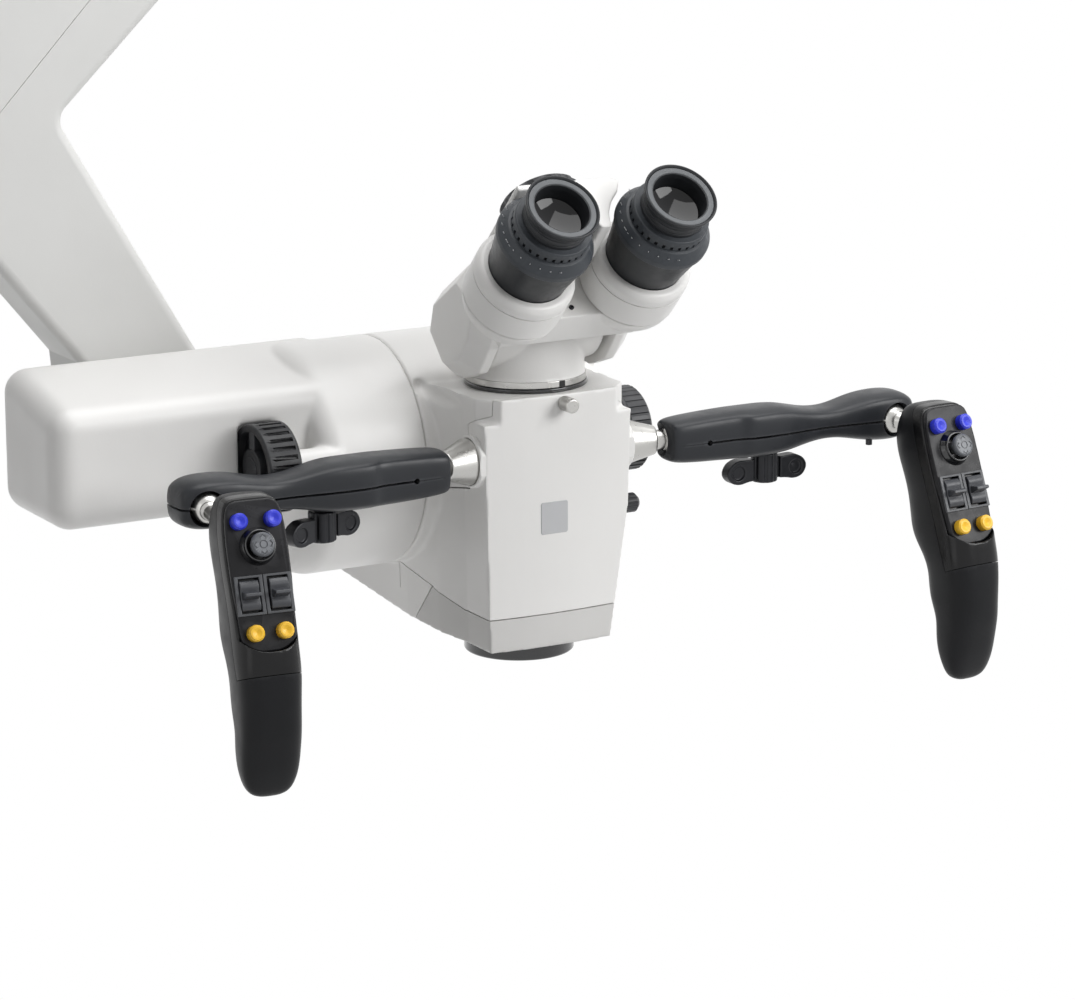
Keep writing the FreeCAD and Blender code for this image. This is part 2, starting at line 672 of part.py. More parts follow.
def cover_region(widen):
    """The part of the body that the front cover holds."""
    back = COVER_BACK_Y + widen
    return side_plate([(BODY_FRONT - CUT_PAST, 5.0), (-31.0 + widen, 5.0), (-31.0 + widen, -8.0),
                       (COVER_SEAM_Y + widen, -14.0), (COVER_SEAM_Y + widen, COVER_SEAM_Z + widen),
                       (BODY_WIDE_Y, COVER_SEAM_Z - 9 + widen), (back, COVER_SEAM_Z - 9 + widen),
                       (back, COLLAR_Z), (BODY_FRONT - CUT_PAST, COLLAR_Z)],
                      -BODY_WIDE - SIDE_PAST, BODY_WIDE + SIDE_PAST)


def collar_region(widen):
    top = COLLAR_Z - SEAM + widen
    return side_plate([(BODY_FRONT - CUT_PAST, top), (COLLAR_BACK_TOP + widen, top),
                       (COLLAR_BACK_LOW + widen, BODY_BOTTOM), (BODY_FRONT - CUT_PAST, BODY_BOTTOM - 5)],
                      -BODY_WIDE - SIDE_PAST, BODY_WIDE + SIDE_PAST)


def knob_bores():
    magnification = rod(V(-BODY_WIDE, DRUM_AXIS_Y, DRUM_AXIS_Z), X_AXIS, MAG_SHAFT_R + RUN_GAP, 3 * BODY_WIDE)
    filter_stem = rod(V(0, FILTER_Y, FILTER_Z), X_AXIS, FILTER_STEM_R + RUN_GAP, BODY_WIDE + 10)
    clamp = rod(V(CLAMP_X, BODY_FRONT - 10, CLAMP_Z), Y_AXIS, CLAMP_STEM_R + RUN_GAP, 10 + CLAMP_IN)
    return magnification, filter_stem, clamp


def drum_shaft_seat():
    return rod(V(DRUM_RIGHT, DRUM_Y, DRUM_Z), X_AXIS, TILT_SHAFT_R, TILT_SHAFT_IN)


def socket_bosses():
    bosses = []
    for side in (-1, 1):
        bosses.append(rod(V(side * (BODY_HALF - SOCKET_SEAT), SOCKET_Y, SOCKET_Z), V(side, 0, 0),
                          SOCKET_BOSS_R, SOCKET_SEAT + SOCKET_PROUD))
    return Part.makeCompound(bosses)


def objective_opening():
    return rod(V(0, OPTIC_Y, BODY_BOTTOM - 5), Z_AXIS, OBJECTIVE_NECK_R, 5 + BODY_WALL + 20)


def body_pieces(whole):
    """The upper housing, the front cover and the lower collar, split along their seams."""
    magnification, filter_stem, clamp = knob_bores()
    shell = whole.cut(body_hollow()).cut(magnification).cut(filter_stem).cut(clamp)
    shell = shell.cut(drum_shaft_seat()).cut(objective_opening()).cut(socket_bosses())
    beam = rod(V(0, 0, -20), Z_AXIS, SEAT_BORE_R, 40)
    shell = shell.cut(beam)
    cover = shell.common(cover_region(0.0)).cut(collar_region(SEAM))
    collar = shell.common(collar_region(0.0))
    housing = shell.cut(cover_region(SEAM)).cut(collar_region(SEAM))
    return housing, cover, collar


def tilt_shaft():
    start = V(DRUM_RIGHT - TILT_SHAFT_IN, DRUM_Y, DRUM_Z)
    return rod(start, X_AXIS, TILT_SHAFT_R, 2 * TILT_SHAFT_IN)


def objective_barrel():
    ledge = BODY_BOTTOM
    profile = [(OBJECTIVE_BOTTOM, OBJECTIVE_BORE_R + 2.5), (OBJECTIVE_BOTTOM, OBJECTIVE_R - 1.2),
               (OBJECTIVE_BOTTOM + 1.2, OBJECTIVE_R), (ledge, OBJECTIVE_R), (ledge, OBJECTIVE_NECK_R),
               (OBJECTIVE_TOP, OBJECTIVE_NECK_R), (OBJECTIVE_TOP, OBJECTIVE_BORE_R),
               (OBJECTIVE_BOTTOM + 2.5, OBJECTIVE_BORE_R)]
    return turned(profile, V(0, OPTIC_Y, 0), Z_AXIS)


def objective_lens():
    bottom = OBJECTIVE_BOTTOM + LENS_RECESS + LENS_TRAVEL
    radius = OBJECTIVE_BORE_R - RUN_GAP
    crown = 2.0
    rim = rod(V(0, OPTIC_Y, bottom), Z_AXIS, radius, LENS_T)
    sphere_r = (radius ** 2 + crown ** 2) / (2 * crown)
    ball = Part.makeSphere(sphere_r, V(0, OPTIC_Y, bottom - crown + sphere_r))
    cap = ball.common(rod(V(0, OPTIC_Y, bottom - crown), Z_AXIS, radius, crown))
    return fused(rim, cap)


def magnification_drum():
    left = -BODY_LEFT_LOW
    axis = V(left, DRUM_AXIS_Y, DRUM_AXIS_Z)
    body = rod(V(-MAG_DRUM_HALF, DRUM_AXIS_Y, DRUM_AXIS_Z), X_AXIS, MAG_DRUM_R, 2 * MAG_DRUM_HALF)
    shaft = rod(axis, X_AXIS, MAG_SHAFT_R, MAG_KNOB_X - left)
    channels = []
    for side in (-1, 1):
        start = V(side * MAG_CHANNEL_X, DRUM_AXIS_Y, DRUM_AXIS_Z - MAG_DRUM_R)
        channels.append(rod(start, Z_AXIS, MAG_CHANNEL_R, 2 * MAG_DRUM_R))
    body = body.cut(Part.makeCompound(channels))
    return fused(body, shaft.cut(box(-MAG_DRUM_HALF, MAG_DRUM_HALF, -50, 80, -100, 50)))


def magnification_knob():
    start = V(MAG_KNOB_X, DRUM_AXIS_Y, DRUM_AXIS_Z)
    wheel = turned([(0, 0), (0, MAG_KNOB_R), (MAG_KNOB_T - MAG_EDGE, MAG_KNOB_R),
                    (MAG_KNOB_T, MAG_KNOB_R - MAG_EDGE),
                    (MAG_KNOB_T, 0)], start, X_AXIS)
    wheel = wheel.cut(grooves(start, X_AXIS, MAG_KNOB_R, MAG_KNOB_T, MAG_RIBS, MAG_RIB_R))
    flange_x = MAG_KNOB_X - MAG_FLANGE_T - MAG_NECK_T
    flange = rod(V(flange_x, DRUM_AXIS_Y, DRUM_AXIS_Z), X_AXIS, MAG_FLANGE_R, MAG_FLANGE_T)
    neck = rod(V(flange_x, DRUM_AXIS_Y, DRUM_AXIS_Z), X_AXIS, MAG_NECK_R, MAG_KNOB_X - flange_x)
    return fused(wheel, flange, neck).cut(rod(V(0, DRUM_AXIS_Y, DRUM_AXIS_Z), X_AXIS, MAG_SHAFT_R, MAG_KNOB_X))


def filter_knob():
    knob_x = BODY_HALF + FILTER_OUT
    start = V(knob_x, FILTER_Y, FILTER_Z)
    knob = turned([(0, 0), (0, FILTER_R), (FILTER_T - 2, FILTER_R), (FILTER_T, FILTER_R - 2), (FILTER_T, 0)],
                  start, X_AXIS)
    knob = knob.cut(grooves(start, X_AXIS, FILTER_R, FILTER_T, FILTER_RIBS, 0.5))
    stem_start = BODY_RIGHT_LOW - 2 * BODY_WALL
    return fused(knob, rod(V(stem_start, FILTER_Y, FILTER_Z), X_AXIS, FILTER_STEM_R, knob_x - stem_start))


# Binocular tube

def dovetail_seat():
    return ring(V(0, 0, 0), Z_AXIS, SEAT_R, SEAT_BORE_R, SEAT_T)


def tube_base():
    foot = ring(V(0, 0, SEAT_T), Z_AXIS, TUBE_RING_R, SEAT_BORE_R, TUBE_RING_T)
    skirt_z = SEAT_T + TUBE_RING_T
    barrel = rod(V(-BASE_HALF, HINGE_Y, HINGE_Z), X_AXIS, HINGE_BARREL_R, 2 * BASE_HALF)
    column = rod(V(0, 0, skirt_z), Z_AXIS, TUBE_RING_R - 0.5, HINGE_Z - skirt_z)
    sides = box(-BASE_HALF, BASE_HALF, -60, 60, 0, 80)
    front = side_plate([(-TUBE_RING_R + 1, skirt_z), (TUBE_RING_R - 4, skirt_z),
                        (HINGE_Y + HINGE_BARREL_R, HINGE_Z), (HINGE_Y, HINGE_Z + 6),
                        (HINGE_Y - HINGE_BARREL_R - 3, HINGE_Z + 2)], -BASE_HALF, BASE_HALF)
    body = fused(column.common(front), barrel).common(sides)
    pins = rod(V(-CHEEK_OUT + 3, HINGE_Y, HINGE_Z), X_AXIS, HINGE_PIN_R, 2 * CHEEK_OUT - 6)
    return fused(foot, body, pins).cut(rod(V(0, 0, 0), Z_AXIS, SEAT_BORE_R - 4, HINGE_Z - 14))


def clamp_screw():
    head_y = BODY_FRONT - BODY_BOW - SLIDE_GAP
    outward = V(0, -1, 0)
    head = turned([(0, 0), (0, CLAMP_HEAD_R - 0.5), (0.5, CLAMP_HEAD_R), (CLAMP_HEAD_T - 0.7, CLAMP_HEAD_R),
                   (CLAMP_HEAD_T, CLAMP_HEAD_R - 0.7), (CLAMP_HEAD_T, 0)],
                  V(CLAMP_X, head_y, CLAMP_Z), outward)
    slot = box(CLAMP_X - CLAMP_HEAD_R, CLAMP_X + CLAMP_HEAD_R, head_y - CLAMP_HEAD_T, head_y - CLAMP_HEAD_T + 1.2,
               CLAMP_Z - 0.6, CLAMP_Z + 0.6)
    stem = rod(V(CLAMP_X, head_y, CLAMP_Z), Y_AXIS, CLAMP_STEM_R, CLAMP_IN)
    return fused(head.cut(slot), stem)


def cheek_outline():
    return [(22, 27), (16, 46), (-14, 66), (-44, 50), (-38, 40), (-33, 26), (-22, 12), (-5, 6), (6, 7)]


def eye_tongue(x, side_room, room):
    """The rib on an ocular's back that slides across in the tube head."""
    half = TONGUE_HALF_W + side_room
    up = TONGUE_HALF_T + room
    corners = [on_eye(x - half, OCULAR_END, -up), on_eye(x + half, OCULAR_END, -up),
               on_eye(x + half, OCULAR_END, up), on_eye(x - half, OCULAR_END, up)]
    return face_of(corners).extrude(EYE_OUT * -(TONGUE_IN + room))


def tube_head():
    cheeks = []
    for x0, x1 in ((-CHEEK_OUT, -CHEEK_IN), (CHEEK_IN, CHEEK_OUT)):
        plate = side_plate(cheek_outline(), x0, x1)
        outer = x0 if x0 < 0 else x1
        rim = lambda edge: abs(edge.BoundBox.XMin - outer) < 0.01 and abs(edge.BoundBox.XMax - outer) < 0.01
        cheeks.append(plate.makeChamfer(5.0, [edge for edge in plate.Edges if rim(edge)]))
    front = OCULAR_END + SLIDE_GAP
    outline = [on_eye(0, front, HEAD_LOW), on_eye(0, front, HEAD_HIGH), on_eye(0, HEAD_BACK, HEAD_HIGH),
               on_eye(0, HEAD_BACK, HEAD_LOW + 18)]
    block = side_plate([(point.y, point.z) for point in outline], -CHEEK_OUT + 5, CHEEK_OUT - 5)
    swing = rod(V(-CHEEK_IN, HINGE_Y, HINGE_Z), X_AXIS, HINGE_BARREL_R + 3 + SLIDE_GAP + 2, 2 * CHEEK_IN)
    roof_points = [on_eye(0, ROOF_FRONT, ROOF_LOW), on_eye(0, ROOF_FRONT, ROOF_HIGH),
                   on_eye(0, HEAD_BACK, ROOF_HIGH), on_eye(0, HEAD_BACK, HEAD_HIGH - 4),
                   on_eye(0, front + 4, HEAD_HIGH - 4), on_eye(0, front, ROOF_LOW)]
    roof = side_plate([(point.y, point.z) for point in roof_points], ROOF_LEFT, ROOF_RIGHT)
    slots = []
    for x in (-EYE_HALF, EYE_HALF):
        slots.append(eye_tongue(x, PD_TRAVEL + SLIDE_GAP, SLIDE_GAP))
    solid = fused(fused(block, roof).cut(swing), *cheeks).cut(Part.makeCompound(slots))
    pin_holes = rod(V(-CHEEK_OUT + 3 - 0.3, HINGE_Y, HINGE_Z), X_AXIS, HINGE_PIN_R + RUN_GAP,
                    2 * CHEEK_OUT - 6 + 0.6)
    stem_hole = rod(on_eye(PD_KNOB_X, PD_KNOB_BACK, ROOF_LOW), EYE_UP, PD_STEM_R + RUN_GAP, 12)
    return solid.cut(pin_holes).cut(stem_hole)


def pd_knob():
    start = on_eye(PD_KNOB_X, PD_KNOB_BACK, ROOF_HIGH + PD_KNOB_LIFT)
    wheel = turned([(0, 0), (0, PD_KNOB_R - 1), (1, PD_KNOB_R), (PD_KNOB_T - 1.5, PD_KNOB_R),
                    (PD_KNOB_T, PD_KNOB_R - 1.5), (PD_KNOB_T, 0)], start, EYE_UP)
    wheel = wheel.cut(grooves(start, EYE_UP, PD_KNOB_R + 0.5, PD_KNOB_T, PD_FLUTES, 1.5))
    stem = rod(on_eye(PD_KNOB_X, PD_KNOB_BACK, ROOF_LOW + SLIDE_GAP), EYE_UP, PD_STEM_R,
               PD_KNOB_LIFT + ROOF_HIGH - ROOF_LOW)
    return fused(wheel, stem)


def eye_turned(profile, x):
    """A piece turned about an eyepiece's axis; distances run back from the rim."""
    return turned([(-back, radius) for back, radius in profile], V(x, EYE_RIM_Y, EYE_RIM_Z), EYE_OUT)


SCALE_TOP = EYECUP_L + GRIP_RING_L
SCALE_END = SCALE_TOP + SCALE_L
SLEEVE_END = SCALE_END + SLEEVE_L


def eyecup(x):
    return eye_turned([(0, EYECUP_RIM_R - 1.8), (0, EYECUP_RIM_R), (EYECUP_LIP, EYECUP_R + 0.6),
                       (EYECUP_LIP + 2, EYECUP_R), (EYECUP_L, EYECUP_R), (EYECUP_L, EYECUP_BORE_R),
                       (EYECUP_LIP + 1, EYECUP_BORE_R)], x)


def dioptre_ring(x):
    profile = [(EYECUP_L, EYE_BORE_R), (EYECUP_L, GRIP_RING_R), (SCALE_TOP, GRIP_RING_R),
               (SCALE_TOP + 0.5, GRIP_RING_R + 1.2), (SCALE_END - 3.0, SCALE_R), (SCALE_END, SCALE_R),
               (SCALE_END, EYE_BORE_R + 2.4), (SCALE_TOP, EYE_BORE_R + 2.4), (SCALE_TOP, EYE_BORE_R)]
    return eye_turned(profile, x)


def eyepiece_barrel(x):
    inner_r = EYE_BORE_R + 2.4 - RUN_GAP
    top = SCALE_TOP + SLIDE_GAP
    profile = [(top, EYE_BORE_R - 2.0), (top, inner_r), (SCALE_END + SLIDE_GAP, inner_r),
               (SCALE_END + SLIDE_GAP, SLEEVE_TOP_R), (SLEEVE_END, SLEEVE_LOW_R),
               (SLEEVE_END, SLEEVE_LOW_R - 2.0), (SLEEVE_END + SLEEVE_IN, SLEEVE_LOW_R - 2.0),
               (SLEEVE_END + SLEEVE_IN, EYE_BORE_R - 2.0)]
    return eye_turned(profile, x)


def ocular_housing(x):
    seat_r = SLEEVE_LOW_R - 2.0
    profile = [(OCULAR_MOUTH, seat_r + 2.6), (OCULAR_MOUTH, OCULAR_R - 1.5), (OCULAR_MOUTH + 1.5, OCULAR_R),
               (OCULAR_END - 9, OCULAR_R), (OCULAR_END - 3, OCULAR_R - 2.5), (OCULAR_END, OCULAR_END_R),
               (OCULAR_END, EYE_BORE_R - 2.0), (SLEEVE_END + SLEEVE_IN, EYE_BORE_R - 2.0),
               (SLEEVE_END + SLEEVE_IN, seat_r), (SLEEVE_END, seat_r), (SLEEVE_END, seat_r + 2.6)]
    return fused(eye_turned(profile, x), eye_tongue(x, 0.0, 0.0))


# Handles, made for the right side and mirrored

def turned_out(direction):
    return FreeCAD.Rotation(Z_AXIS, GRIP_TURN_OUT).multVec(direction)


def handle_socket():
    boss = rod(V(BODY_HALF - SOCKET_SEAT, SOCKET_Y, SOCKET_Z), X_AXIS, SOCKET_BOSS_R, SOCKET_SEAT + SOCKET_PROUD)
    cone = frustum(SOCKET_BASE - SOCKET_DIR * 3, SOCKET_DIR, SOCKET_R + 0.9, SOCKET_END_R, SOCKET_L + 3)
    bore = rod(SOCKET_BASE + SOCKET_DIR * (SOCKET_L - STUD_IN), SOCKET_DIR, STUD_R + RUN_GAP, STUD_IN + 5)
    room = box(BODY_HALF - SOCKET_SEAT, 200, -80, 40, -80, 20)
    return fused(boss, cone.common(room)).cut(bore)


def inner_ball_stud():
    start = SOCKET_BASE + SOCKET_DIR * (SOCKET_L - STUD_IN + 0.3)
    length = (INNER_BALL - start).Length
    return fused(rod(start, SOCKET_DIR, STUD_R, length), Part.makeSphere(BALL_R, INNER_BALL))


def oval(center, half_a, half_b, axis_a, axis_b, power, points=20):
    """A closed smooth outline between an ellipse (power 2) and a box (high power)."""
    spots = []
    for index in range(points):
        turn = 2 * math.pi * (index + 0.5) / points
        c, s = math.cos(turn), math.sin(turn)
        a = math.copysign(abs(c) ** (2 / power), c) * half_a
        b = math.copysign(abs(s) ** (2 / power), s) * half_b
        spots.append(center + axis_a * a + axis_b * b)
    curve = Part.BSplineCurve()
    curve.interpolate(spots, PeriodicFlag=True)
    return Part.Wire([curve.toShape()])


ARM_START = -7.814
ARM_SECTIONS = [
    # along the arm from its inner end, half height, half depth
    (0.0, 9.0, 10.5),
    (7.5, 11.8, 13.0),
    (21.5, 12.8, 13.8),
    (57.5, 12.8, 13.8),
    (70.5, 11.6, 13.0),
    (84.5, 8.2, 11.2),
    (96.5, 8.0, 11.0),
    (109.5, 10.4, 12.6),
    (123.5, 12.6, 13.6),
    (135.5, 12.6, 13.0),
    (145.0, 9.0, 9.5)]


def handle_arm():
    wires = []
    start_x = INNER_BALL.x + ARM_START
    for along, half_z, half_y in ARM_SECTIONS:
        wires.append(oval(V(start_x + along, ARM_AXIS_Y, ARM_AXIS_Z), half_y, half_z, Y_AXIS, Z_AXIS, 3.0))
    solid = Part.makeLoft(wires, True, False)
    slit_right = start_x + ARM_SECTIONS[-1][0] + SIDE_PAST
    slit = box(SLIT_X, slit_right, -80, 20, OUTER_BALL.z - SLIT_T / 2, OUTER_BALL.z + SLIT_T / 2)
    hole = rod(V(SLIT_X, -80, OUTER_BALL.z), Y_AXIS, SLIT_HOLE_R, 100)
    inner_room = fused(Part.makeSphere(BALL_R + BALL_GAP, INNER_BALL),
                       frustum(INNER_BALL, SOCKET_DIR * -1, 4.5, 18.0, 14.0))
    outer_room = fused(Part.makeSphere(BALL_R + BALL_GAP, OUTER_BALL),
                       frustum(OUTER_BALL, turned_out(GRIP_DIR), 5.5, 14.0, 12.0))
    stem = rod(V(WING_X, WING_Y, WING_BOTTOM), Z_AXIS, WING_STEM_R + RUN_GAP,
               ARM_AXIS_Z + WING_STEM_R + SLIDE_GAP - WING_BOTTOM)
    return solid.cut(slit).cut(hole).cut(inner_room).cut(outer_room).cut(stem)


def wing_knob(turn):
    spindle = V(WING_X, WING_Y, WING_BOTTOM)
    stem = rod(spindle, Z_AXIS, WING_STEM_R, ARM_AXIS_Z + WING_STEM_R - WING_BOTTOM)
    hub = rod(spindle, Z_AXIS, WING_BODY_R, WING_TOP - WING_BOTTOM)
    web_z = WING_BOTTOM + 1.5
    pieces = [stem, hub]
    for side in (-1, 1):
        lobe = V(WING_X + side * WING_REACH, WING_Y, web_z + WING_T / 2 + 1)
        disc = rod(lobe - Y_AXIS * WING_HALF_T, Y_AXIS, WING_LOBE_R, 2 * WING_HALF_T)
        dimple = rod(lobe - Y_AXIS * (WING_HALF_T + 1), Y_AXIS, WING_DIMPLE_R, 2.0)
        web = box(min(WING_X, lobe.x), max(WING_X, lobe.x), WING_Y - WING_WEB_HALF, WING_Y + WING_WEB_HALF,
                  web_z, web_z + WING_T + 2)
        pieces += [disc.cut(dimple), web]
    knob = fused(*pieces)
    knob.rotate(spindle, Z_AXIS, turn)
    return knob


# Grips

GRIP_SECTIONS = [
    # height above the ball, half width, front and back of the ball
    (21.5, 9.0, -47.5, -34.5),
    (19.0, 13.0, -54.5, -30.0),
    (13.0, 14.8, -59.5, -27.5),
    (-1.0, 16.0, -64.1, -26.7),
    (-11.0, 16.2, -67.8, -28.3),
    (-21.0, 16.0, -71.5, -31.0),
    (-31.0, 15.6, -74.0, -33.0),
    (-41.0, 15.7, -76.5, -35.0),
    (-51.0, 16.0, -78.5, -39.0),
    (-59.0, 16.0, -80.0, -45.5),
    (-67.0, 15.7, -80.5, -47.0),
    (-75.0, 15.3, -81.0, -47.5),
    (-83.0, 15.2, -80.5, -50.5),
    (-91.0, 15.0, -80.0, -52.0),
    (-99.0, 15.0, -78.0, -53.0),
    (-107.0, 14.6, -76.5, -56.0),
    (-115.0, 13.4, -74.0, -58.0),
    (-124.0, 9.0, -70.5, -61.5)]

PANEL_DOWN = V(0, -math.sin(PANEL_LEAN), -math.cos(PANEL_LEAN))
PANEL_OUT = V(0, -math.cos(PANEL_LEAN), math.sin(PANEL_LEAN))
BUTTON_SPOTS = [("blue", BLUE_SPREAD, BLUE_DOWN), ("yellow", YELLOW_SPREAD, YELLOW_DOWN)]


def on_panel(across, down, out):
    """A point of the right grip's panel: across to the right, down its slope, out of its face."""
    return V(GRIP_X + across, PANEL_TOP_Y, PANEL_TOP_Z) + PANEL_DOWN * down + PANEL_OUT * out


def panel_cell(across, down, half_a, half_d, out_0, out_1):
    corners = [on_panel(across - half_a, down - half_d, out_0), on_panel(across + half_a, down - half_d, out_0),
               on_panel(across + half_a, down + half_d, out_0), on_panel(across - half_a, down + half_d, out_0)]
    return face_of(corners).extrude(PANEL_OUT * (out_1 - out_0))


def panel_region(out_0, out_1):
    """The sloping front of the grip, from over its top down to the panel's rounded end."""
    straight = PANEL_LENGTH - PANEL_END_R
    height = PANEL_OUT * (out_1 - out_0)
    slab = panel_cell(0, (straight - PANEL_LENGTH) / 2, 2 * PANEL_END_R, (straight + PANEL_LENGTH) / 2, out_0, out_1)
    pieces = [slab, panel_cell(0, straight, PANEL_END_FLAT, PANEL_END_R, out_0, out_1)]
    for side in (-1, 1):
        pieces.append(rod(on_panel(side * PANEL_END_FLAT, straight, out_0), PANEL_OUT, PANEL_END_R, height.Length))
    return fused(*pieces)


def joystick_room():
    pivot = on_panel(0, JOYSTICK_DOWN, -JOYSTICK_PIVOT)
    seat = Part.makeSphere(JOYSTICK_BALL_R + BALL_GAP, pivot)
    throat = frustum(pivot, PANEL_OUT, JOYSTICK_STEM_R, COLLAR_BORE_R, JOYSTICK_PIVOT - PANEL_T)
    bore = rod(pivot + PANEL_OUT * (JOYSTICK_PIVOT - PANEL_T), PANEL_OUT, COLLAR_BORE_R, PANEL_T + COLLAR_OUT)
    return fused(seat, throat, bore)


def control_pockets():
    """Everything that the panel and the grip leave open for the controls."""
    cuts = [joystick_room()]
    for side in (-1, 1):
        for _, spread, down in BUTTON_SPOTS:
            cuts.append(rod(on_panel(side * spread, down, -POCKET_DEEP), PANEL_OUT, BUTTON_R + RUN_GAP,
                            POCKET_DEEP + BUTTON_OUT))
        across = side * ROCKER_SPREAD
        cuts.append(panel_cell(across, ROCKER_DOWN, ROCKER_HALF_W + SLIDE_GAP, ROCKER_HALF_H + ROCKER_PLAY,
                               -POCKET_DEEP, BEZEL_OUT))
        cuts.append(rod(on_panel(across - ROCKER_PIN_HALF - SLIDE_GAP, ROCKER_DOWN, -ROCKER_PIVOT), X_AXIS,
                        ROCKER_PIN_R + RUN_GAP, 2 * (ROCKER_PIN_HALF + SLIDE_GAP)))
    return Part.makeCompound(cuts)


def grip_trigger_room():
    half_w = TRIGGER_W / 2 + SLIDE_GAP
    half_h = TRIGGER_H / 2 + SLIDE_GAP
    return box(GRIP_X - half_w, GRIP_X + half_w, TRIGGER_FRONT - TRIGGER_ROOM, OUTER_BALL.y,
               TRIGGER_Z - half_h, TRIGGER_Z + half_h)


def grip_body():
    wires = []
    for rise, half, front, back in GRIP_SECTIONS:
        center = V(GRIP_X, OUTER_BALL.y + (front + back) / 2, OUTER_BALL.z + rise)
        wires.append(oval(center, half, (back - front) / 2, X_AXIS, Y_AXIS, 3.0))
    return Part.makeLoft(wires, True, False)


def grip_shell(body):
    front = panel_region(-PANEL_T, PANEL_END_R)
    stud_hole = rod(OUTER_BALL, GRIP_DIR, OUTER_STUD_R + RUN_GAP, STUD_REACH + SLIDE_GAP)
    return body.cut(front).cut(control_pockets()).cut(grip_trigger_room()).cut(stud_hole)


def grip_panel(body):
    plate = body.common(panel_region(-PANEL_T, 0.0))
    collar = frustum(on_panel(0, JOYSTICK_DOWN, -1.0), PANEL_OUT, COLLAR_FOOT_R, COLLAR_TOP_R, COLLAR_OUT + 1.0)
    bezels = []
    for side in (-1, 1):
        bezels.append(panel_cell(side * ROCKER_SPREAD, ROCKER_DOWN, BEZEL_HALF_W, BEZEL_HALF_H, -1.0, BEZEL_OUT))
    return fused(plate, collar, *bezels).cut(control_pockets())


def push_button(across, down):
    base = on_panel(across, down, -BUTTON_IN)
    rim = BUTTON_IN + BUTTON_OUT
    edge = 0.8
    dish = 0.7
    return turned([(0, 0), (0, BUTTON_R), (rim - edge, BUTTON_R), (rim, BUTTON_R - edge),
                   (rim, BUTTON_R - 2 * edge), (rim - dish, 0)], base, PANEL_OUT)


def joystick():
    pivot = on_panel(0, JOYSTICK_DOWN, -JOYSTICK_PIVOT)
    under = JOYSTICK_PIVOT + JOYSTICK_UNDER
    top = JOYSTICK_PIVOT + JOYSTICK_OUT
    edge = 0.8
    stem = rod(pivot, PANEL_OUT, JOYSTICK_STEM_R, under)
    cap = turned([(under, 0), (under, JOYSTICK_R), (top - edge, JOYSTICK_R), (top, JOYSTICK_R - edge), (top, 0)],
                 pivot, PANEL_OUT)
    return fused(Part.makeSphere(JOYSTICK_BALL_R, pivot), stem, cap)


def rocker(across):
    base = panel_cell(across, ROCKER_DOWN, ROCKER_HALF_W, ROCKER_HALF_H, -ROCKER_PIVOT, ROCKER_OUT)
    tab = panel_cell(across, ROCKER_DOWN, ROCKER_HALF_W - 1.0, TAB_HALF_T, 0.0, TAB_OUT)
    pin = rod(on_panel(across - ROCKER_PIN_HALF, ROCKER_DOWN, -ROCKER_PIVOT), X_AXIS, ROCKER_PIN_R,
              2 * ROCKER_PIN_HALF)
    return fused(base, tab, pin)


def trigger():
    key = box(GRIP_X - TRIGGER_W / 2, GRIP_X + TRIGGER_W / 2, TRIGGER_FRONT, TRIGGER_BACK,
              TRIGGER_Z - TRIGGER_H / 2, TRIGGER_Z + TRIGGER_H / 2)
    return rounded(key, 2.5, lambda edge: edge.BoundBox.YMin > TRIGGER_BACK - 0.5)


def outer_ball_stud():
    shaft = rod(OUTER_BALL, GRIP_DIR, OUTER_STUD_R, STUD_REACH)
    return fused(shaft, Part.makeSphere(BALL_R, OUTER_BALL))


os.makedirs("parts", exist_ok=True)


def save(name, shape):
    piece = shape.copy()
    piece.translate(V(0, -OPTIC_AHEAD, -HEAD_DROP))
    piece.exportStep("parts/" + name + ".step")
    print(name, "solids", len(piece.Solids), "valid", piece.isValid(), "volume", round(piece.Volume))


def save_pair(name, shape):
    save(name + "_right", shape)
    save(name + "_left", mirrored(shape))


def save_grips(name, shape):
    """Both grips' copies of a piece, leaned and turned out about the ball."""
    for side, lean in GRIP_LEAN:
        piece = shape.copy()
        piece.rotate(OUTER_BALL, X_AXIS, lean)
        piece.rotate(OUTER_BALL, Z_AXIS, GRIP_TURN_OUT)
        save(name + "_" + side, piece if side == "right" else mirrored(piece))


arm = whole_arm()
save("stand_spindle", stand_spindle())
save("yaw_bearings", yaw_bearings())
save("carrier_arm", carrier_arm(arm))
save("arm_spine_cover", arm_spine_cover(arm))

save("tilt_housing", tilt_housing())
save("tilt_housing_cover", tilt_housing_cover())
save("tilt_bearings", tilt_bearings())
save("lateral_pin", lateral_pin())
save("friction_knob", friction_knob())

housing, cover, collar = body_pieces(body_outside())
save("optics_housing", housing)
save("front_cover", cover)
save("lower_collar", collar)
save("tilt_shaft", tilt_shaft())
save("objective_barrel", objective_barrel())
save("objective_lens", objective_lens())
save("magnification_drum", magnification_drum())
save("magnification_knob", magnification_knob())
save("filter_knob", filter_knob())

save("dovetail_seat", dovetail_seat())
save("tube_base", tube_base())
save("clamp_screw", clamp_screw())
save("tube_head", tube_head())
save("pd_knob", pd_knob())
for side, x in (("left", -EYE_HALF), ("right", EYE_HALF)):
    save("ocular_housing_" + side, ocular_housing(x))
    save("eyepiece_barrel_" + side, eyepiece_barrel(x))
    save("dioptre_ring_" + side, dioptre_ring(x))
    save("eyecup_" + side, eyecup(x))

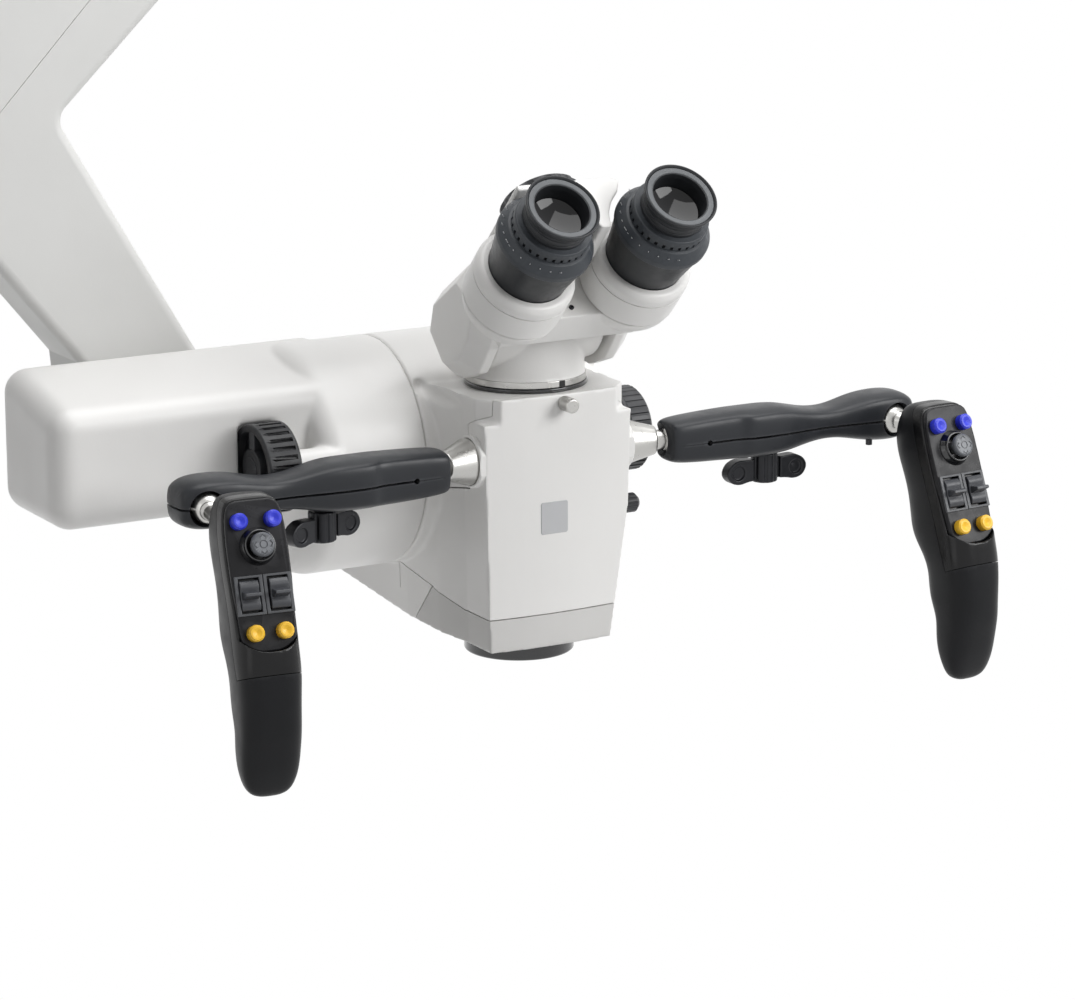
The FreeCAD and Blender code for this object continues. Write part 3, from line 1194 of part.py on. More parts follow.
sockets = handle_socket()
save("handle_sockets", Part.makeCompound([sockets, mirrored(sockets)]))
save_pair("inner_ball_stud", inner_ball_stud())
save_pair("handle_arm", handle_arm())
for side, turn in WING_TURN:
    knob = wing_knob(turn if side == "right" else -turn)
    save("wing_knob_" + side, knob if side == "right" else mirrored(knob))
save_grips("outer_ball_stud", outer_ball_stud())
grip = grip_body()
save_grips("grip_shell", grip_shell(grip))
save_grips("grip_panel", grip_panel(grip))
for colour, spread, down in BUTTON_SPOTS:
    save_grips(colour + "_button_outer", push_button(spread, down))
    save_grips(colour + "_button_inner", push_button(-spread, down))
save_grips("joystick", joystick())
save_grips("rocker_outer", rocker(ROCKER_SPREAD))
save_grips("rocker_inner", rocker(-ROCKER_SPREAD))
save_grips("trigger", trigger())
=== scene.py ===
"""The looks of the operating microscope head on its carrier arm.

Shapes are worked out in the head's own millimetres, from the centre of the round seat under the
binocular tube, as the solids are. HEAD brings them into the part's frame.
"""
import json
import math

import bmesh
import bpy
from mathutils import Matrix, Vector


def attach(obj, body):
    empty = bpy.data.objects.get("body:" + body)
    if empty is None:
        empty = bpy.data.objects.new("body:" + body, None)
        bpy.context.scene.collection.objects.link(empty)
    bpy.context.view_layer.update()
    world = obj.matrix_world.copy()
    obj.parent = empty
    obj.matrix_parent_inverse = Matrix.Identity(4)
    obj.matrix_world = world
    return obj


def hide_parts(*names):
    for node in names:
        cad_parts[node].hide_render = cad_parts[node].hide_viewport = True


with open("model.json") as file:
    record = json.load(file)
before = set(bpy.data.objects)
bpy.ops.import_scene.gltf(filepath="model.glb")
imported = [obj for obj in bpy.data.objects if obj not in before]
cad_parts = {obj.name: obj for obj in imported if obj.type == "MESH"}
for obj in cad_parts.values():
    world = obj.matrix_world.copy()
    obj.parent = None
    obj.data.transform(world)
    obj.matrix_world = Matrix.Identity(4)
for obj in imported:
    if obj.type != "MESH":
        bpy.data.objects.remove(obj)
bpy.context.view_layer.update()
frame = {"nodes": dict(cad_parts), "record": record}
nodes = frame["nodes"]
scene = bpy.context.scene

# The head's own millimetres
MM = 0.001
SEAT_PLACE = Vector((0, -119, -380))
HEAD = Matrix.Scale(MM, 4) @ Matrix.Translation(SEAT_PLACE)
MIRROR = Matrix.Scale(-1, 4, Vector((1, 0, 0)))
STILL = Matrix.Identity(4)
X_AXIS = Vector((1, 0, 0))
Y_AXIS = Vector((0, 1, 0))
Z_AXIS = Vector((0, 0, 1))


def stood(origin, direction):
    """Stands a shape made along +Z at the origin along another direction."""
    turn = Z_AXIS.rotation_difference(Vector(direction)).to_matrix().to_4x4()
    return Matrix.Translation(Vector(origin)) @ turn


# Eyepiece axes
EYE_HALF = 32.4
EYE_RIM = Vector((0, -96.6, 105.6))
EYE_SLOPE = math.radians(45.5)
EYE_OUT = Vector((0, -math.cos(EYE_SLOPE), math.sin(EYE_SLOPE)))
EYE_UP = Vector((0, math.sin(EYE_SLOPE), math.cos(EYE_SLOPE)))


def on_eye(x, back, up):
    return EYE_RIM + X_AXIS * x - EYE_OUT * back + EYE_UP * up


def eye_place(x):
    """The eyepiece's frame: Z out of the rim, Y up across it."""
    turn = Matrix((X_AXIS, EYE_UP, EYE_OUT)).transposed().to_4x4()
    return Matrix.Translation(on_eye(x, 0, 0)) @ turn


# Handle joints and grips
SOCKET_SPLAY = math.radians(15)
SOCKET_DIR = Vector((math.cos(SOCKET_SPLAY), -math.sin(SOCKET_SPLAY), 0))
SOCKET_BASE = Vector((45.2, -21.0, -31.9))
INNER_BALL = SOCKET_BASE + SOCKET_DIR * 26.0
OUTER_BALL = Vector((193.7, -38.5, -33.0))
GRIP_X = 188.6
GRIP_TURN_OUT = math.radians(5.5)
GRIP_LEAN = {"right": math.radians(-1.0), "left": math.radians(1.0)}
STUD_ENTRY = Vector((196.4, -62.0, -33.8))
GRIP_DIR = (STUD_ENTRY - OUTER_BALL).normalized()
PANEL_LEAN = math.radians(20.5)
PANEL_TOP = Vector((GRIP_X, -87.2, -17.0))
PANEL_DOWN = Vector((0, -math.sin(PANEL_LEAN), -math.cos(PANEL_LEAN)))
PANEL_OUT = Vector((0, -math.cos(PANEL_LEAN), math.sin(PANEL_LEAN)))
SIDES = ("right", "left")


def side_place(side):
    return STILL if side == "right" else MIRROR


def grip_place(side):
    turn = Matrix.Rotation(GRIP_TURN_OUT, 4, "Z") @ Matrix.Rotation(GRIP_LEAN[side], 4, "X")
    return side_place(side) @ Matrix.Translation(OUTER_BALL) @ turn @ Matrix.Translation(-OUTER_BALL)


def panel_place(across, down, out):
    """The panel's frame at a spot on it: X across, Y up its slope, Z out of its face."""
    turn = Matrix((X_AXIS, -PANEL_DOWN, PANEL_OUT)).transposed().to_4x4()
    spot = PANEL_TOP + X_AXIS * across + PANEL_DOWN * down + PANEL_OUT * out
    return Matrix.Translation(spot) @ turn


# Finishes

def tone(red, green, blue):
    """A screen colour of 0 to 255 as light."""
    levels = []
    for level in (red, green, blue):
        share = level / 255
        levels.append(share / 12.92 if share < 0.04045 else ((share + 0.055) / 1.055) ** 2.4)
    return (*levels, 1.0)


def noise_field(tree, size_mm, detail=2.0, roughness=0.5):
    """Noise over the object, with its largest lumps about as wide as the size."""
    place = tree.nodes.new("ShaderNodeTexCoord")
    noise = tree.nodes.new("ShaderNodeTexNoise")
    noise.inputs["Scale"].default_value = 1 / (size_mm * MM)
    noise.inputs["Detail"].default_value = detail
    noise.inputs["Roughness"].default_value = roughness
    tree.links.new(place.outputs["Object"], noise.inputs["Vector"])
    return noise.outputs["Fac"]


def spread(tree, field, low, high, start=0.35, end=0.65):
    ramp = tree.nodes.new("ShaderNodeMapRange")
    ramp.inputs["From Min"].default_value = start
    ramp.inputs["From Max"].default_value = end
    ramp.inputs["To Min"].default_value = low
    ramp.inputs["To Max"].default_value = high
    tree.links.new(field, ramp.inputs["Value"])
    return ramp.outputs["Result"]


def finish_of(name, colour, roughness, metal=0.0, grain_mm=0.7, grain_deep_mm=0.02, patch_mm=60.0,
              patch=0.04, rough_spread=0.05, coat=0.0, coat_rough=0.1, edge_highlight=0.0, specular=0.5):
    """A procedural finish: fine grain in the surface, faint patches, uneven gloss, and a painted highlight
    that lightens convex edges.
    """
    material = bpy.data.materials.new(name)
    material.use_nodes = True
    tree = material.node_tree
    shader = tree.nodes["Principled BSDF"]
    shader.inputs["Metallic"].default_value = metal
    shader.inputs["Coat Weight"].default_value = coat
    shader.inputs["Coat Roughness"].default_value = coat_rough
    shader.inputs["Specular IOR Level"].default_value = specular
    patches = spread(tree, noise_field(tree, patch_mm, 3.0), 1 - patch, 1.0)
    shade = tree.nodes.new("ShaderNodeMix")
    shade.data_type = "RGBA"
    shade.blend_type = "MULTIPLY"
    shade.inputs["Factor"].default_value = 1.0
    shade.inputs["A"].default_value = tone(*colour)
    tree.links.new(patches, shade.inputs["B"])
    base = shade.outputs["Result"]
    # Painted highlight: convex edges, found by pointiness, are lightened towards a colour 70 levels
    # brighter.
    if edge_highlight:
        edges = tree.nodes.new("ShaderNodeNewGeometry")
        lit_edges = spread(tree, edges.outputs["Pointiness"], 0.0, edge_highlight, 0.515, 0.60)
        edge_lit_colour = tree.nodes.new("ShaderNodeMix")
        edge_lit_colour.data_type = "RGBA"
        edge_lit_colour.inputs["B"].default_value = tone(*(min(255, level + 70) for level in colour))
        tree.links.new(lit_edges, edge_lit_colour.inputs["Factor"])
        tree.links.new(base, edge_lit_colour.inputs["A"])
        base = edge_lit_colour.outputs["Result"]
    tree.links.new(base, shader.inputs["Base Color"])
    gloss = spread(tree, noise_field(tree, patch_mm / 4, 4.0), roughness - rough_spread,
                   roughness + rough_spread)
    tree.links.new(gloss, shader.inputs["Roughness"])
    bump = tree.nodes.new("ShaderNodeBump")
    bump.inputs["Strength"].default_value = 1.0
    bump.inputs["Distance"].default_value = grain_deep_mm * MM
    tree.links.new(noise_field(tree, grain_mm, 3.0), bump.inputs["Height"])
    tree.links.new(bump.outputs["Normal"], shader.inputs["Normal"])
    return material


FINISHES = {
    "cover_white": finish_of("cover_white", (240, 239, 237), 0.42, grain_mm=1.1, grain_deep_mm=0.03,
                             coat=0.15,
                             coat_rough=0.25, patch=0.02),
    "arm_paint": finish_of("arm_paint", (228, 228, 226), 0.5, grain_mm=1.0, grain_deep_mm=0.025, patch=0.03),
    "collar_grey": finish_of("collar_grey", (216, 215, 213), 0.48, grain_mm=0.9, grain_deep_mm=0.02),
    "plain_steel": finish_of("plain_steel", (182, 182, 180), 0.32, metal=1.0, grain_mm=0.4,
                             grain_deep_mm=0.004),
    "bright_chrome": finish_of("bright_chrome", (206, 204, 200), 0.24, metal=1.0, grain_mm=0.35,
                               grain_deep_mm=0.003, patch=0.05, patch_mm=12.0),
    "black_metal": finish_of("black_metal", (40, 41, 45), 0.36, specular=0.35, metal=0.25, grain_mm=0.5,
                             grain_deep_mm=0.012,
                             patch=0.15, patch_mm=18.0, edge_highlight=0.35),
    "knob_black": finish_of("knob_black", (31, 32, 35), 0.42, specular=0.35, grain_mm=0.5,
                            grain_deep_mm=0.012, patch=0.12,
                            patch_mm=20.0, edge_highlight=0.25),
    "handle_grey": finish_of("handle_grey", (40, 42, 46), 0.38, specular=0.25, grain_mm=0.6,
                             grain_deep_mm=0.015, patch=0.10,
                             patch_mm=30.0, edge_highlight=0.3, coat=0.1, coat_rough=0.3),
    "grip_black": finish_of("grip_black", (19, 20, 23), 0.36, specular=0.2, grain_mm=0.8,
                            grain_deep_mm=0.015, patch=0.12,
                            patch_mm=40.0, edge_highlight=0.15),
    "panel_grey": finish_of("panel_grey", (18, 18, 21), 0.30, specular=0.2, grain_mm=0.5,
                            grain_deep_mm=0.01, patch=0.10,
                            patch_mm=25.0, edge_highlight=0.4),
    "rubber_black": finish_of("rubber_black", (36, 38, 41), 0.5, specular=0.35, grain_mm=0.5,
                              grain_deep_mm=0.015, patch=0.12,
                              patch_mm=15.0, edge_highlight=0.2),
    "lens_glass": finish_of("lens_glass", (16, 17, 20), 0.05, grain_mm=30.0, grain_deep_mm=0.002, patch=0.2,
                            rough_spread=0.02, specular=0.3),
    "button_blue": finish_of("button_blue", (46, 58, 214), 0.38, grain_mm=0.4, grain_deep_mm=0.008,
                             patch=0.06,
                             patch_mm=6.0),
    "button_yellow": finish_of("button_yellow", (248, 196, 50), 0.38, grain_mm=0.4, grain_deep_mm=0.008,
                               patch=0.06, patch_mm=6.0),
    "key_grey": finish_of("key_grey", (84, 87, 92), 0.42, grain_mm=0.4, grain_deep_mm=0.012, patch=0.08,
                          patch_mm=8.0, edge_highlight=0.4),
    "sleeve_dark": finish_of("sleeve_dark", (32, 34, 37), 0.38, specular=0.35, grain_mm=0.5,
                             grain_deep_mm=0.01, patch=0.10,
                             patch_mm=14.0, edge_highlight=0.2),
    "scale_grey": finish_of("scale_grey", (60, 64, 69), 0.45, specular=0.35, grain_mm=0.4,
                            grain_deep_mm=0.01, patch=0.08,
                            patch_mm=10.0, edge_highlight=0.3),
    "ink_white": finish_of("ink_white", (232, 233, 235), 0.5, grain_mm=0.3, grain_deep_mm=0.004, patch=0.05,
                           patch_mm=3.0),
    # hole_black: painted shade on the floors of the dioptre wheel's holes, and the black mark on the tube
    # ring.
    "hole_black": finish_of("hole_black", (10, 10, 11), 0.6, grain_mm=0.4, grain_deep_mm=0.01, patch=0.2,
                            patch_mm=4.0),
    "satin_steel": finish_of("satin_steel", (190, 189, 186), 0.30, metal=1.0, grain_mm=0.5,
                             grain_deep_mm=0.002,
                             patch=0.04, patch_mm=14.0, rough_spread=0.03),
    "lip_grey": finish_of("lip_grey", (92, 95, 98), 0.5, grain_mm=0.5, grain_deep_mm=0.01, patch=0.08,
                          patch_mm=12.0),
    "bezel_grey": finish_of("bezel_grey", (66, 68, 72), 0.42, grain_mm=0.4, grain_deep_mm=0.01, patch=0.08,
                            patch_mm=8.0),
    "rocker_grey": finish_of("rocker_grey", (58, 60, 65), 0.4, grain_mm=0.4, grain_deep_mm=0.01, patch=0.08,
                             patch_mm=8.0),
    "gloss_black": finish_of("gloss_black", (11, 11, 13), 0.22, grain_mm=0.8, grain_deep_mm=0.004, patch=0.1,
                             patch_mm=30.0, specular=0.3),
    "plate_grey": finish_of("plate_grey", (196, 197, 199), 0.4, grain_mm=0.6, grain_deep_mm=0.006,
                            patch=0.03,
                            patch_mm=20.0),
    "rim_gloss": finish_of("rim_gloss", (22, 23, 26), 0.18, grain_mm=0.5, grain_deep_mm=0.004, patch=0.15,
                           patch_mm=20.0, coat=0.6, coat_rough=0.06),
}

for part in frame["record"]["subparts"]:
    shown = nodes[part["node"]]
    shown.data.materials.clear()
    shown.data.materials.append(FINISHES[part["material_slot"]])


# Mesh work

def solid_of(points, height, lift=0.0):
    """A prism on an outline of (x, y) points, or (x, y, rounding) for rounded corners."""
    shape = bmesh.new()
    corners = [shape.verts.new((point[0], point[1], lift)) for point in points]
    face = shape.faces.new(corners)
    for corner, point in zip(corners, points):
        if len(point) > 2 and point[2] > 0:
            bmesh.ops.bevel(shape, geom=[corner], offset=point[2], offset_type="OFFSET", segments=6,
                            profile=0.5, affect="VERTICES", material=-1)
    face = shape.faces[:][0]
    raised = bmesh.ops.extrude_face_region(shape, geom=[face], use_keep_orig=True)["geom"]
    lifted = [item for item in raised if isinstance(item, bmesh.types.BMVert)]
    bmesh.ops.translate(shape, vec=(0, 0, height), verts=lifted)
    bmesh.ops.recalc_face_normals(shape, faces=shape.faces)
    return shape


def turned(profile, steps=96):
    """A solid of revolution about Z from (distance along, radius, rounding) corners."""
    shape = bmesh.new()
    corners = [shape.verts.new((point[1], 0, point[0])) for point in profile]
    shape.faces.new(corners)
    for corner, point in zip(corners, profile):
        if len(point) > 2 and point[2] > 0:
            bmesh.ops.bevel(shape, geom=[corner], offset=point[2], offset_type="OFFSET", segments=4,
                            profile=0.5, affect="VERTICES", material=-1)
    bmesh.ops.delete(shape, geom=shape.faces[:], context="FACES_ONLY")
    on_axis = [edge for edge in shape.edges if max(abs(vert.co.x) for vert in edge.verts) < 1e-6]
    bmesh.ops.delete(shape, geom=on_axis, context="EDGES")
    bmesh.ops.spin(shape, geom=shape.verts[:] + shape.edges[:], cent=(0, 0, 0), axis=(0, 0, 1),
                   angle=2 * math.pi, steps=steps, use_merge=True, use_duplicate=False)
    bmesh.ops.remove_doubles(shape, verts=shape.verts, dist=1e-4)
    bmesh.ops.recalc_face_normals(shape, faces=shape.faces)
    return shape


def ball(radius, place=STILL):
    shape = bmesh.new()
    bmesh.ops.create_uvsphere(shape, u_segments=64, v_segments=32, radius=radius, matrix=place)
    return shape


def lofted(sections, steps=32, power=3.0):
    """A skin through (place along Z, half width, half height, shift x, shift y, power) sections."""
    shape = bmesh.new()
    bmesh.ops.create_circle(shape, cap_ends=False, segments=steps, radius=1.0)
    rim = shape.edges[:]
    for _ in sections[1:]:
        grown = bmesh.ops.extrude_edge_only(shape, edges=rim)["geom"]
        fresh = [item for item in grown if isinstance(item, bmesh.types.BMVert)]
        bmesh.ops.translate(shape, vec=(0, 0, 1), verts=fresh)
        rim = [item for item in grown if isinstance(item, bmesh.types.BMEdge)
               and all(vert in fresh for vert in item.verts)]
    for vert in shape.verts:
        section = sections[round(vert.co.z)]
        turn = math.atan2(vert.co.y, vert.co.x)
        c, s = math.cos(turn), math.sin(turn)
        bend = 2 / (section[5] if len(section) > 5 else power)
        vert.co.x = section[3] + math.copysign(abs(c) ** bend, c) * section[1]
        vert.co.y = section[4] + math.copysign(abs(s) ** bend, s) * section[2]
        vert.co.z = section[0]
    bmesh.ops.holes_fill(shape, edges=[edge for edge in shape.edges if edge.is_boundary], sides=0)
    bmesh.ops.recalc_face_normals(shape, faces=shape.faces)
    return shape


def moved(shape, place):
    bmesh.ops.transform(shape, matrix=place, verts=shape.verts)
    if place.determinant() < 0:
        bmesh.ops.reverse_faces(shape, faces=shape.faces)
    return shape


def joined(*shapes):
    """Several shapes as one, each still whole by itself."""
    together = bmesh.new()
    for shape in shapes:
        mesh = bpy.data.meshes.new("loose")
        shape.to_mesh(mesh)
        shape.free()
        together.from_mesh(mesh)
        bpy.data.meshes.remove(mesh)
    return together


def node_shape(name):
    """A merged copy of a solid's mesh, in the head's millimetres."""
    shape = bmesh.new()
    shape.from_mesh(nodes[name].data)
    bmesh.ops.remove_doubles(shape, verts=shape.verts, dist=1e-6)
    bmesh.ops.transform(shape, matrix=HEAD.inverted(), verts=shape.verts)
    return shape


def through(shape, *tools):
    """A shape after a row of modifiers, each a (kind, settings) pair."""
    mesh = bpy.data.meshes.new("work")
    shape.to_mesh(mesh)
    shape.free()
    bench = bpy.data.objects.new("work", mesh)
    scene.collection.objects.link(bench)
    for kind, settings in tools:
        modifier = bench.modifiers.new(kind.lower(), kind)
        for key, value in settings.items():
            setattr(modifier, key, value)
    depsgraph = bpy.context.evaluated_depsgraph_get()
    made = bpy.data.meshes.new_from_object(bench.evaluated_get(depsgraph), depsgraph=depsgraph)
    result = bmesh.new()
    result.from_mesh(made)
    bpy.data.objects.remove(bench)
    bpy.data.meshes.remove(mesh)
    bpy.data.meshes.remove(made)
    return result


def carved(shape, tool, operation="DIFFERENCE"):
    mesh = bpy.data.meshes.new("tool")
    tool.to_mesh(mesh)
    tool.free()
    cutter = bpy.data.objects.new("tool", mesh)
    scene.collection.objects.link(cutter)
    result = through(shape, ("BOOLEAN", {"operation": operation, "object": cutter, "solver": "MANIFOLD"}))
    bpy.data.objects.remove(cutter)
    bpy.data.meshes.remove(mesh)
    return result


def cast(shape, voxel, rounds, keep=0.4):
    """Soft cast edges: even skin, smoothed, then thinned where it is flat."""
    shape = through(shape, ("REMESH", {"mode": "VOXEL", "voxel_size": voxel, "adaptivity": 0.0}))
    for _ in range(rounds):
        bmesh.ops.smooth_vert(shape, verts=shape.verts, factor=0.5, use_axis_x=True, use_axis_y=True,
                              use_axis_z=True)
    return through(shape, ("DECIMATE", {"decimate_type": "COLLAPSE", "ratio": keep}))


def soft_edges(shape, width, segments=3, angle=25.0):
    """Rounds every edge where the surface turns by more than the angle."""
    limit = math.radians(angle)
    bends = [edge for edge in shape.edges if len(edge.link_faces) == 2 and edge.calc_face_angle(0.0) > limit]
    bmesh.ops.bevel(shape, geom=bends, offset=width, offset_type="OFFSET", segments=segments, profile=0.5,
                    affect="EDGES", material=-1, clamp_overlap=True)
    return shape


def made(shape, name, body, finish, place=STILL, replaces=(), sharp=40.0, slot=None):
    """The finished piece, in the part's frame, riding on its body."""
    moved(shape, HEAD @ place)
    mesh = bpy.data.meshes.new(name)
    shape.to_mesh(mesh)
    shape.free()
    mesh.materials.clear()
    mesh.materials.append(FINISHES[finish])
    mesh.shade_smooth()
    mesh.set_sharp_from_angle(angle=math.radians(sharp))
    piece = bpy.data.objects.new(name, mesh)
    scene.collection.objects.link(piece)
    evened = piece.modifiers.new("even_shading", "WEIGHTED_NORMAL")
    evened.keep_sharp = True
    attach(piece, body)
    if replaces:
        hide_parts(*replaces)
    return piece


def slab(x0, x1, y0, y1, z0, z1):
    return solid_of([(x0, y0), (x1, y0), (x1, y1), (x0, y1)], z1 - z0, z0)


def side_prism(outline, x0, x1):
    """A prism along X from an outline of (y, z) points."""
    turn = Matrix((Y_AXIS, Z_AXIS, X_AXIS)).transposed().to_4x4()
    return moved(solid_of(outline, x1 - x0, x0), turn)


# Body of the microscope
BODY_FRONT = -33.6
BODY_BOW = 2.1
BODY_WIDE_Y = 38.0
BODY_BACK = 121.0
BODY_BOTTOM = -128.1
BODY_MID_Z = -60.0
COLLAR_Z = -110.8
DRUM_Y = 61.6
DRUM_Z = -40.5
DRUM_R = 58.5
DRUM_HALF = 53.6
SEAM = 0.6
SCOOP_RISE = math.radians(9.0)
BODY_KEEP = 0.35


def body_plan(shape, left, right, z):
    """One level of the body: bowed front, straight cheeks, flared sides and a flat back."""
    bow = [(-left + (left + right) * step / 8, BODY_FRONT - BODY_BOW * (1 - (step / 4 - 1) ** 2)) for step in
           range(9)]
    ahead = BODY_FRONT + 23.0
    sides = [(right, ahead), (right + 5.6, ahead + 20), (right + 8.5, BODY_WIDE_Y), (right + 8.5, BODY_BACK),
             (-left - 8.5, BODY_BACK), (-left - 8.5, BODY_WIDE_Y), (-left - 5.6, ahead + 20), (-left, ahead)]
    corners = [shape.verts.new((x, y, z)) for x, y in bow + sides]
    return [shape.edges.new(pair) for pair in zip(corners, corners[1:] + corners[:1])]


def body_block():
    shape = bmesh.new()
    levels = [body_plan(shape, 38.9, 29.8, BODY_BOTTOM), body_plan(shape, 40.5, 40.3, BODY_MID_Z),
              body_plan(shape, 42.0, 42.0, 0.0)]
    for low, high in zip(levels, levels[1:]):
        bmesh.ops.bridge_loops(shape, edges=low + high)
    bmesh.ops.holes_fill(shape, edges=[edge for edge in shape.edges if edge.is_boundary], sides=0)
    bmesh.ops.recalc_face_normals(shape, faces=shape.faces)
    keep = side_prism([(-55, 0), (DRUM_Y, 0), (DRUM_Y + DRUM_R, DRUM_Z), (BODY_BACK, DRUM_Z - 12),
                       (BODY_BACK, -117), (-10.6, BODY_BOTTOM), (-55, BODY_BOTTOM)], -60, 60)
    shape = carved(shape, keep, "INTERSECT")
    drum = turned([(-DRUM_HALF, 0), (-DRUM_HALF, DRUM_R, 1.0), (DRUM_HALF, DRUM_R, 5.0), (DRUM_HALF, 0)],
                  128)
    shape = carved(shape, moved(drum, stood((0, DRUM_Y, DRUM_Z), X_AXIS)), "UNION")
    for side in (-1, 1):
        notch = [(side * 32.6, -39), (side * 32.6, -34), (side * 44, -21.6), (side * 44, -39)]
        shape = carved(shape, solid_of(notch, 14, -12))
    shape = carved(shape, turned([(0, 0), (0, 33.0), (60, 33.0), (60, 0)]))
    for side in (-1, 1):
        scoop = ball(1.0, Matrix.Translation((side * 49.0, -3.0, -3.5)) @ Matrix.Rotation(SCOOP_RISE, 4, "X")
                     @ Matrix.Diagonal((7.5, 27.0, 6.5, 1.0)))
        shape = carved(shape, scoop)
    return cast(shape, 0.8, 4, 1.0)


def cover_part(widen):
    """The front cover's share of the body."""
    back = 46.0 + widen
    return side_prism([(-55, 5), (-31 + widen, 5), (-31 + widen, -8), (-17 + widen, -14),
                       (-17 + widen, -47 + widen), (38, -56 + widen), (back, -56 + widen), (back, COLLAR_Z),
                       (-55, COLLAR_Z)], -56, 56)


def collar_part(widen):
    """The grey collar's share of the body."""
    top = COLLAR_Z - SEAM + widen
    return side_prism([(-55, top), (-9, top), (15 + widen, top + 7.6), (35 + widen, BODY_BOTTOM),
                       (35 + widen, -134), (-55, -134)], -56, 56)


def body_room():
    """The hollow in the middle of the body."""
    return slab(-34, 25, -29, 42, -123.6, -9)


block = body_block()
for side in reversed(SIDES):
    flank_seam = side_prism([(14, -103.2), (46, -96.2), (46, -96.8), (14, -103.8)], 44, 60)
    block = carved(block, moved(flank_seam, side_place(side)))
block = carved(block, body_room())
block = carved(block, moved(turned([(0, 0), (0, 26), (30, 26), (30, 0)]), Matrix.Translation((0, 8, -135))))
cover = carved(block.copy(), cover_part(0.0), "INTERSECT")
cover = carved(cover, collar_part(SEAM))
collar = carved(block.copy(), collar_part(0.0), "INTERSECT")
housing = carved(carved(block, cover_part(SEAM)), collar_part(SEAM))
for shape, name, finish in ((cover, "front_cover", "cover_white"), (collar, "lower_collar", "collar_grey"),
                            (housing, "optics_housing", "cover_white")):
    shape = through(shape, ("DECIMATE", {"decimate_type": "COLLAPSE", "ratio": BODY_KEEP}))
    made(shape, name + "_skin", "microscope", finish, replaces=(name,), sharp=32.0)

# Tilt housing
made(cast(node_shape("tilt_housing"), 0.9, 6), "tilt_housing_skin", "tilt_unit", "cover_white",
     replaces=("tilt_housing",))

# Friction wheel
WHEEL_AT = Vector((-148.0, 9.0, -30.0))
WHEEL_RIBS = 30
wheel = turned([(0.2, 5.6), (0.2, 10.2, 0.5), (4.6, 11.0), (4.6, 17.6), (0.2, 18.6, 0.5), (0.2, 22.4, 1.0),
                (17.8, 22.4, 1.2), (17.8, 5.6)], 120)
rib_cuts = []
for index in range(WHEEL_RIBS):
    groove = solid_of([(-0.95, 21.5, 0.3), (0.95, 21.5, 0.3), (0.95, 24.5), (-0.95, 24.5)], 11.6, 4.0)
    rib_cuts.append(moved(groove, Matrix.Rotation(2 * math.pi * index / WHEEL_RIBS, 4, "Z")))
wheel = carved(wheel, joined(*rib_cuts))
made(soft_edges(wheel, 0.25, 2, 40), "friction_wheel_skin", "friction_wheel", "knob_black",
     place=stood(WHEEL_AT, X_AXIS), replaces=("friction_knob",))
wheel_bar = joined(slab(-19.0, -9.8, -3.0, 3.0, 0.6, 4.8), slab(9.8, 19.0, -3.0, 3.0, 0.6, 4.8))
made(soft_edges(wheel_bar, 0.5), "friction_wheel_bar", "friction_wheel", "knob_black",
     place=stood(WHEEL_AT, X_AXIS))
wheel_cap = turned([(-0.1, 0), (-0.1, 6.3, 0.15), (0.22, 6.3), (0.22, 0)], 64)
made(wheel_cap, "friction_wheel_cap", "friction_wheel", "black_metal", place=stood(WHEEL_AT, X_AXIS))

# Tube base with its plugs
BARREL_Y = -5.0
BARREL_Z = 35.0
BARREL_SKIN_R = 24.6
PLUG_SPOTS = ((-22.5, 44.0), (22.5, 44.0))
made(cast(node_shape("tube_base"), 0.5, 5), "tube_base_skin", "microscope", "cover_white",
     replaces=("tube_base",))
for number, (x, height) in enumerate(PLUG_SPOTS):
    ahead = BARREL_Y - math.sqrt(BARREL_SKIN_R ** 2 - (height - BARREL_Z) ** 2)
    slope = Vector((0, ahead - BARREL_Y, height - BARREL_Z))
    plug = turned([(-1.0, 0), (-1.0, 2.3), (0.2, 2.3, 0.15), (0.2, 1.9), (0.0, 1.8), (0.15, 1.5, 0.1),
                   (0.15, 0)], 48)
    made(plug, "base_plug_" + str(number), "microscope", "collar_grey", place=stood((x, ahead, height),
                                                                                    slope),
         slot="cover_white")

# Tube head: cheeks, the roots of the two oculars, the bar between them and the hood
HEAD_FRONT = 73.4
CHEEK_IN = 33.0
CHEEK_RISE = 14.0
CHEEK_FACET = 9.0
GAP_SCREW_AT = (-3.0, -9.5, -73.5)
CHEEK = [(22, 26), (16, 47), (-14, 66), (-43, 51), (-38, 40), (-33, 26), (-22, 12), (-6, 6.5), (4, 7)]


def cheek(side):
    shape = side_prism(CHEEK, CHEEK_IN, CHEEK_IN + CHEEK_RISE - CHEEK_FACET)
    outer = [face for face in shape.faces if face.normal.x > 0.9]
    bmesh.ops.inset_region(shape, faces=outer, thickness=8.0, depth=0.0, use_even_offset=True)
    outer = [face for face in shape.faces if face.normal.x > 0.9 and len(face.verts) > 4]
    bmesh.ops.translate(shape, vec=(CHEEK_FACET, 0, 0), verts=outer[0].verts)
    return moved(shape, side_place(side))


